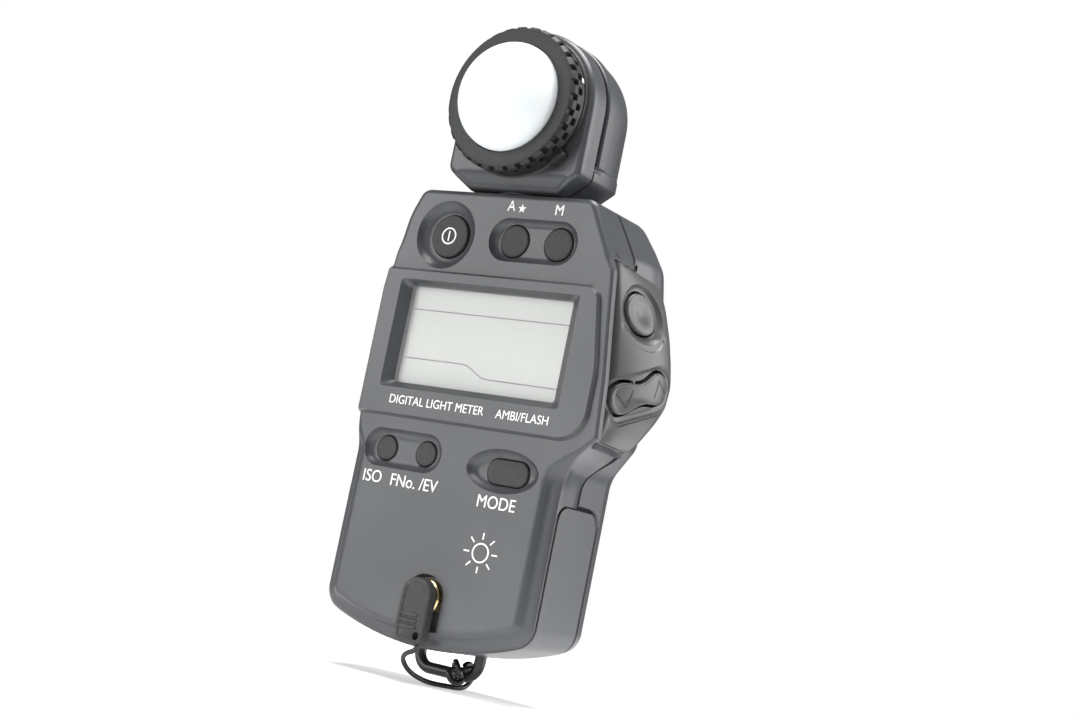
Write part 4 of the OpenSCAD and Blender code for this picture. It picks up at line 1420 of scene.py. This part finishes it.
def star(x, z, radius):
    """Five-pointed star."""
    angles = math.pi / 2 + np.arange(10) * math.pi / 5
    reach = np.where(np.arange(10) % 2 == 0, radius, radius * 0.42)
    return np.stack([x + reach * np.cos(angles), z + reach * np.sin(angles)], 1)


def stroke(points, width=0.26):
    """Outline of a thin line through points."""
    points = np.array(points, float)
    way = np.gradient(points, axis=0)
    way /= np.linalg.norm(way, axis=1, keepdims=True)
    side = np.stack([-way[:, 1], way[:, 0]], 1) * width / 2
    return np.concatenate([points - side, (points + side)[::-1]])


def printed_marks():
    """Names of the keys, the sun mark, the power sign and the lines of the display."""
    face = FACE_Y - 0.03
    panel = FACE_Y - sizes().panel_rise / MM - 0.03
    lettering("label_average", "A", 2.3, 104.3, face, 3.6)
    flat_mark("label_star", [(star(5.3, 103.9, 1.15), None)], face - 0.02, "print", "case")
    lettering("label_memory", "M", 15.7, 104.0, face, 3.6)
    lettering("label_film_speed", "ISO", -21.6, 36.5, face, 4.1)
    lettering("label_f_number", "FNo. /EV", -9.3, 36.4, face, 4.1)
    lettering("label_mode", "MODE", 14.5, 35.1, face, 4.1)
    lettering("label_panel", "DIGITAL LIGHT METER", -6.8, 55.3, panel, 2.95)
    lettering("label_kinds", "AMBI/FLASH", 17.6, 55.2, panel, 2.95)
    rays = [(circle(SUN_X, SUN_Z, 2.3, 40), circle(SUN_X, SUN_Z, 1.95, 40))]
    for turn in np.arange(8) * math.pi / 4:
        way = np.array([math.cos(turn), math.sin(turn)])
        rays.append((stroke([way * reach + [SUN_X, SUN_Z] for reach in (3.1, 3.8, 4.6)], 0.34), None))
    flat_mark("light_mark", rays, face - 0.02, "print", "case")
    top = FACE_Y + sizes().key_drop / MM - 0.2
    ring = (circle(POWER_X, UPPER_KEY_Z, 2.1), circle(POWER_X, UPPER_KEY_Z, 1.72))
    flat_mark("power_symbol", [ring, (bar(POWER_X, UPPER_KEY_Z, 0.36, 2.5, 0.1, 0.2), None)], top,
              "print", "power_key", "key_rubber")
    glass = box_mm("display_glass")[0][1] - 0.02
    upper = stroke([(-21.2, 78.0), (0, 78.0), (23, 78.0)])
    lower = stroke([(-21.2, 66.1), (-3.6, 66.1), (-2.6, 65.8), (1.6, 63.5), (2.6, 63.2), (23, 63.1)])
    flat_mark("display_lines", [(upper, None), (lower, None)], glass - 0.05, "segment", "case", "display")


# ---------------------------------------------------------------- stage


def camera():
    """Long lens from the front right and a little below, rolled."""
    azimuth, elevation, roll = math.radians(33.18), math.radians(-6.76), math.radians(11.41)
    target = Vector((18.5, -12.0, 69.0)) * MM
    back = Vector((math.sin(azimuth) * math.cos(elevation), -math.cos(azimuth) * math.cos(elevation),
                   math.sin(elevation)))
    right = Vector((math.cos(azimuth), math.sin(azimuth), 0))
    up = back.cross(right)
    turned_right = right * math.cos(roll) + up * math.sin(roll)
    turned_up = up * math.cos(roll) - right * math.sin(roll)
    data = bpy.data.cameras.new("camera")
    data.lens = 59.67
    data.sensor_width = 36.0
    data.clip_start = 0.01
    data.clip_end = 20.0
    seat = bpy.data.objects.new("camera", data)
    bpy.context.scene.collection.objects.link(seat)
    basis = Matrix((turned_right, turned_up, back)).transposed().to_4x4()
    seat.matrix_world = Matrix.Translation(target + back * sizes().camera_distance) @ basis
    bpy.context.scene.camera = seat


def area_light(name, place, target, size, energy):
    """Rectangular lamp at place, turned to target."""
    data = bpy.data.lights.new(name, "AREA")
    data.shape = "RECTANGLE"
    data.size, data.size_y = size
    data.energy = energy
    lamp = bpy.data.objects.new(name, data)
    bpy.context.scene.collection.objects.link(lamp)
    lamp.location = place
    lamp.rotation_euler = (Vector(target) - Vector(place)).to_track_quat("-Z", "Y").to_euler()


def floor_paper():
    """Pale floor that fades out away from the meter."""
    lowest = cad_box[0][2]
    edge = 6.0
    mesh = bpy.data.meshes.new("floor")
    count = 24
    points = [(edge * (2 * i / count - 1), edge * (2 * j / count - 1), lowest)
              for j in range(count + 1) for i in range(count + 1)]
    faces = [(j * (count + 1) + i, j * (count + 1) + i + 1, (j + 1) * (count + 1) + i + 1,
              (j + 1) * (count + 1) + i) for j in range(count) for i in range(count)]
    mesh.from_pydata(points, [], faces)
    g = Graph("floor_paper")
    fibre = g.noise(1.5, 4.0)
    reach = g.add("ShaderNodeVectorMath", {"operation": "LENGTH"}, {0: g.place()}, "Value")
    colour = tuple(bpy.context.scene.meter_colours.floor)
    mesh.materials.append(g.finish(
        fibre.between(shade(colour, 0.98), colour), 0.8 + fibre * 0.1, fibre, 0.02,
        Alpha=1 - reach.ramp(0.10, 0.32), Emission_Color=colour, Emission_Strength=0.35))
    floor = bpy.data.objects.new("floor", mesh)
    bpy.context.scene.collection.objects.link(floor)


def surroundings():
    """White behind the meter, and a dim sky to light it."""
    world = bpy.data.worlds.new("studio")
    bpy.context.scene.world = world
    world.use_nodes = True
    tree = world.node_tree
    bright = tree.nodes["Background"]
    bright.inputs["Color"].default_value = (1, 1, 1, 1)
    dim = tree.nodes.new("ShaderNodeBackground")
    dim.inputs["Color"].default_value = (0.95, 0.97, 1, 1)
    dim.inputs["Strength"].default_value = 0.16
    ray = tree.nodes.new("ShaderNodeLightPath")
    mix = tree.nodes.new("ShaderNodeMixShader")
    tree.links.new(ray.outputs["Is Camera Ray"], mix.inputs[0])
    tree.links.new(dim.outputs[0], mix.inputs[1])
    tree.links.new(bright.outputs[0], mix.inputs[2])
    tree.links.new(mix.outputs[0], tree.nodes["World Output"].inputs["Surface"])


def lamps():
    """Three soft boxes and a narrow strip that draws the edges."""
    middle = (0.0, 0.0, 0.07)
    area_light("front_softbox", (-0.55, -0.85, 0.35), middle, (0.8, 0.8), 8.5)
    area_light("top_softbox", (0.1, 0.0, 1.0), middle, (0.8, 0.6), 18)
    area_light("back_softbox", (0.9, 0.6, 0.35), middle, (0.9, 0.9), 12)
    area_light("edge_strip", (0.45, -0.9, 0.2), middle, (0.04, 0.9), 1.2)
    bpy.context.scene.view_settings.view_transform = "Standard"


# ---------------------------------------------------------------- add-on


class METER_OT_finishes(bpy.types.Operator):
    """Make the materials and give them to the design nodes"""
    bl_idname = "meter.finishes"
    bl_label = "Finishes"

    def execute(self, context):
        make_finishes()
        for part in frame["record"]["subparts"]:
            node = frame["nodes"][part["node"]]
            node.data.materials.clear()
            node.data.materials.append(finishes[part["material_slot"]])
        return {"FINISHED"}


class METER_OT_casing(bpy.types.Operator):
    """Build the front and back shells"""
    bl_idname = "meter.casing"
    bl_label = "Casing"

    def execute(self, context):
        front_shell()
        rear_shell()
        return {"FINISHED"}


class METER_OT_keys(bpy.types.Operator):
    """Build the front keys"""
    bl_idname = "meter.keys"
    bl_label = "Front keys"

    def execute(self, context):
        front_keys()
        return {"FINISHED"}


class METER_OT_side(bpy.types.Operator):
    """Build the side panel with its measuring key and rocker"""
    bl_idname = "meter.side"
    bl_label = "Side panel"

    def execute(self, context):
        side_panel()
        side_keys()
        return {"FINISHED"}


class METER_OT_head(bpy.types.Operator):
    """Build the swivel head"""
    bl_idname = "meter.head"
    bl_label = "Head"

    def execute(self, context):
        head_front()
        head_rear()
        bayonet()
        return {"FINISHED"}


class METER_OT_receptor(bpy.types.Operator):
    """Build the turning ring and its dome"""
    bl_idname = "meter.receptor"
    bl_label = "Receptor"

    def execute(self, context):
        dome_ring()
        dome()
        return {"FINISHED"}


class METER_OT_socket(bpy.types.Operator):
    """Build the sync socket, its cap, the lanyard and the strap loop"""
    bl_idname = "meter.socket"
    bl_label = "Socket and cap"

    def execute(self, context):
        sync_sleeve()
        sync_cap()
        eyelet()
        cord()
        return {"FINISHED"}


class METER_OT_marks(bpy.types.Operator):
    """Print the function marks"""
    bl_idname = "meter.marks"
    bl_label = "Printed marks"

    def execute(self, context):
        printed_marks()
        return {"FINISHED"}


class METER_OT_stage(bpy.types.Operator):
    """Set the camera, floor and light"""
    bl_idname = "meter.stage"
    bl_label = "Stage"

    def execute(self, context):
        camera()
        floor_paper()
        surroundings()
        lamps()
        return {"FINISHED"}


OPERATORS = (METER_OT_finishes, METER_OT_stage, METER_OT_socket, METER_OT_casing, METER_OT_keys,
             METER_OT_side, METER_OT_head, METER_OT_receptor, METER_OT_marks)


class METER_PT_sidebar(bpy.types.Panel):
    """Lists the builders of the light meter"""
    bl_idname = "METER_PT_sidebar"
    bl_label = "Light meter"
    bl_space_type = "VIEW_3D"
    bl_region_type = "UI"
    bl_category = "Light meter"

    def draw(self, context):
        for operator in OPERATORS:
            self.layout.operator(operator.bl_idname)
        for group in (context.scene.meter_sizes, context.scene.meter_colours):
            for name in group.__annotations__:
                self.layout.prop(group, name)


CLASSES = (MeterColours, MeterSizes, *OPERATORS, METER_PT_sidebar)


def register():
    """Adds the classes and the scene's settings."""
    for item in CLASSES:
        bpy.utils.register_class(item)
    bpy.types.Scene.meter_colours = PointerProperty(type=MeterColours)
    bpy.types.Scene.meter_sizes = PointerProperty(type=MeterSizes)


def unregister():
    """Takes away what register added."""
    del bpy.types.Scene.meter_sizes
    del bpy.types.Scene.meter_colours
    for item in reversed(CLASSES):
        bpy.utils.unregister_class(item)


def main():
    """Builds everything in order."""
    register()
    for operator in OPERATORS:
        group, name = operator.bl_idname.split(".")
        getattr(getattr(bpy.ops, group), name)()


if __name__ == "__main__":
    main()
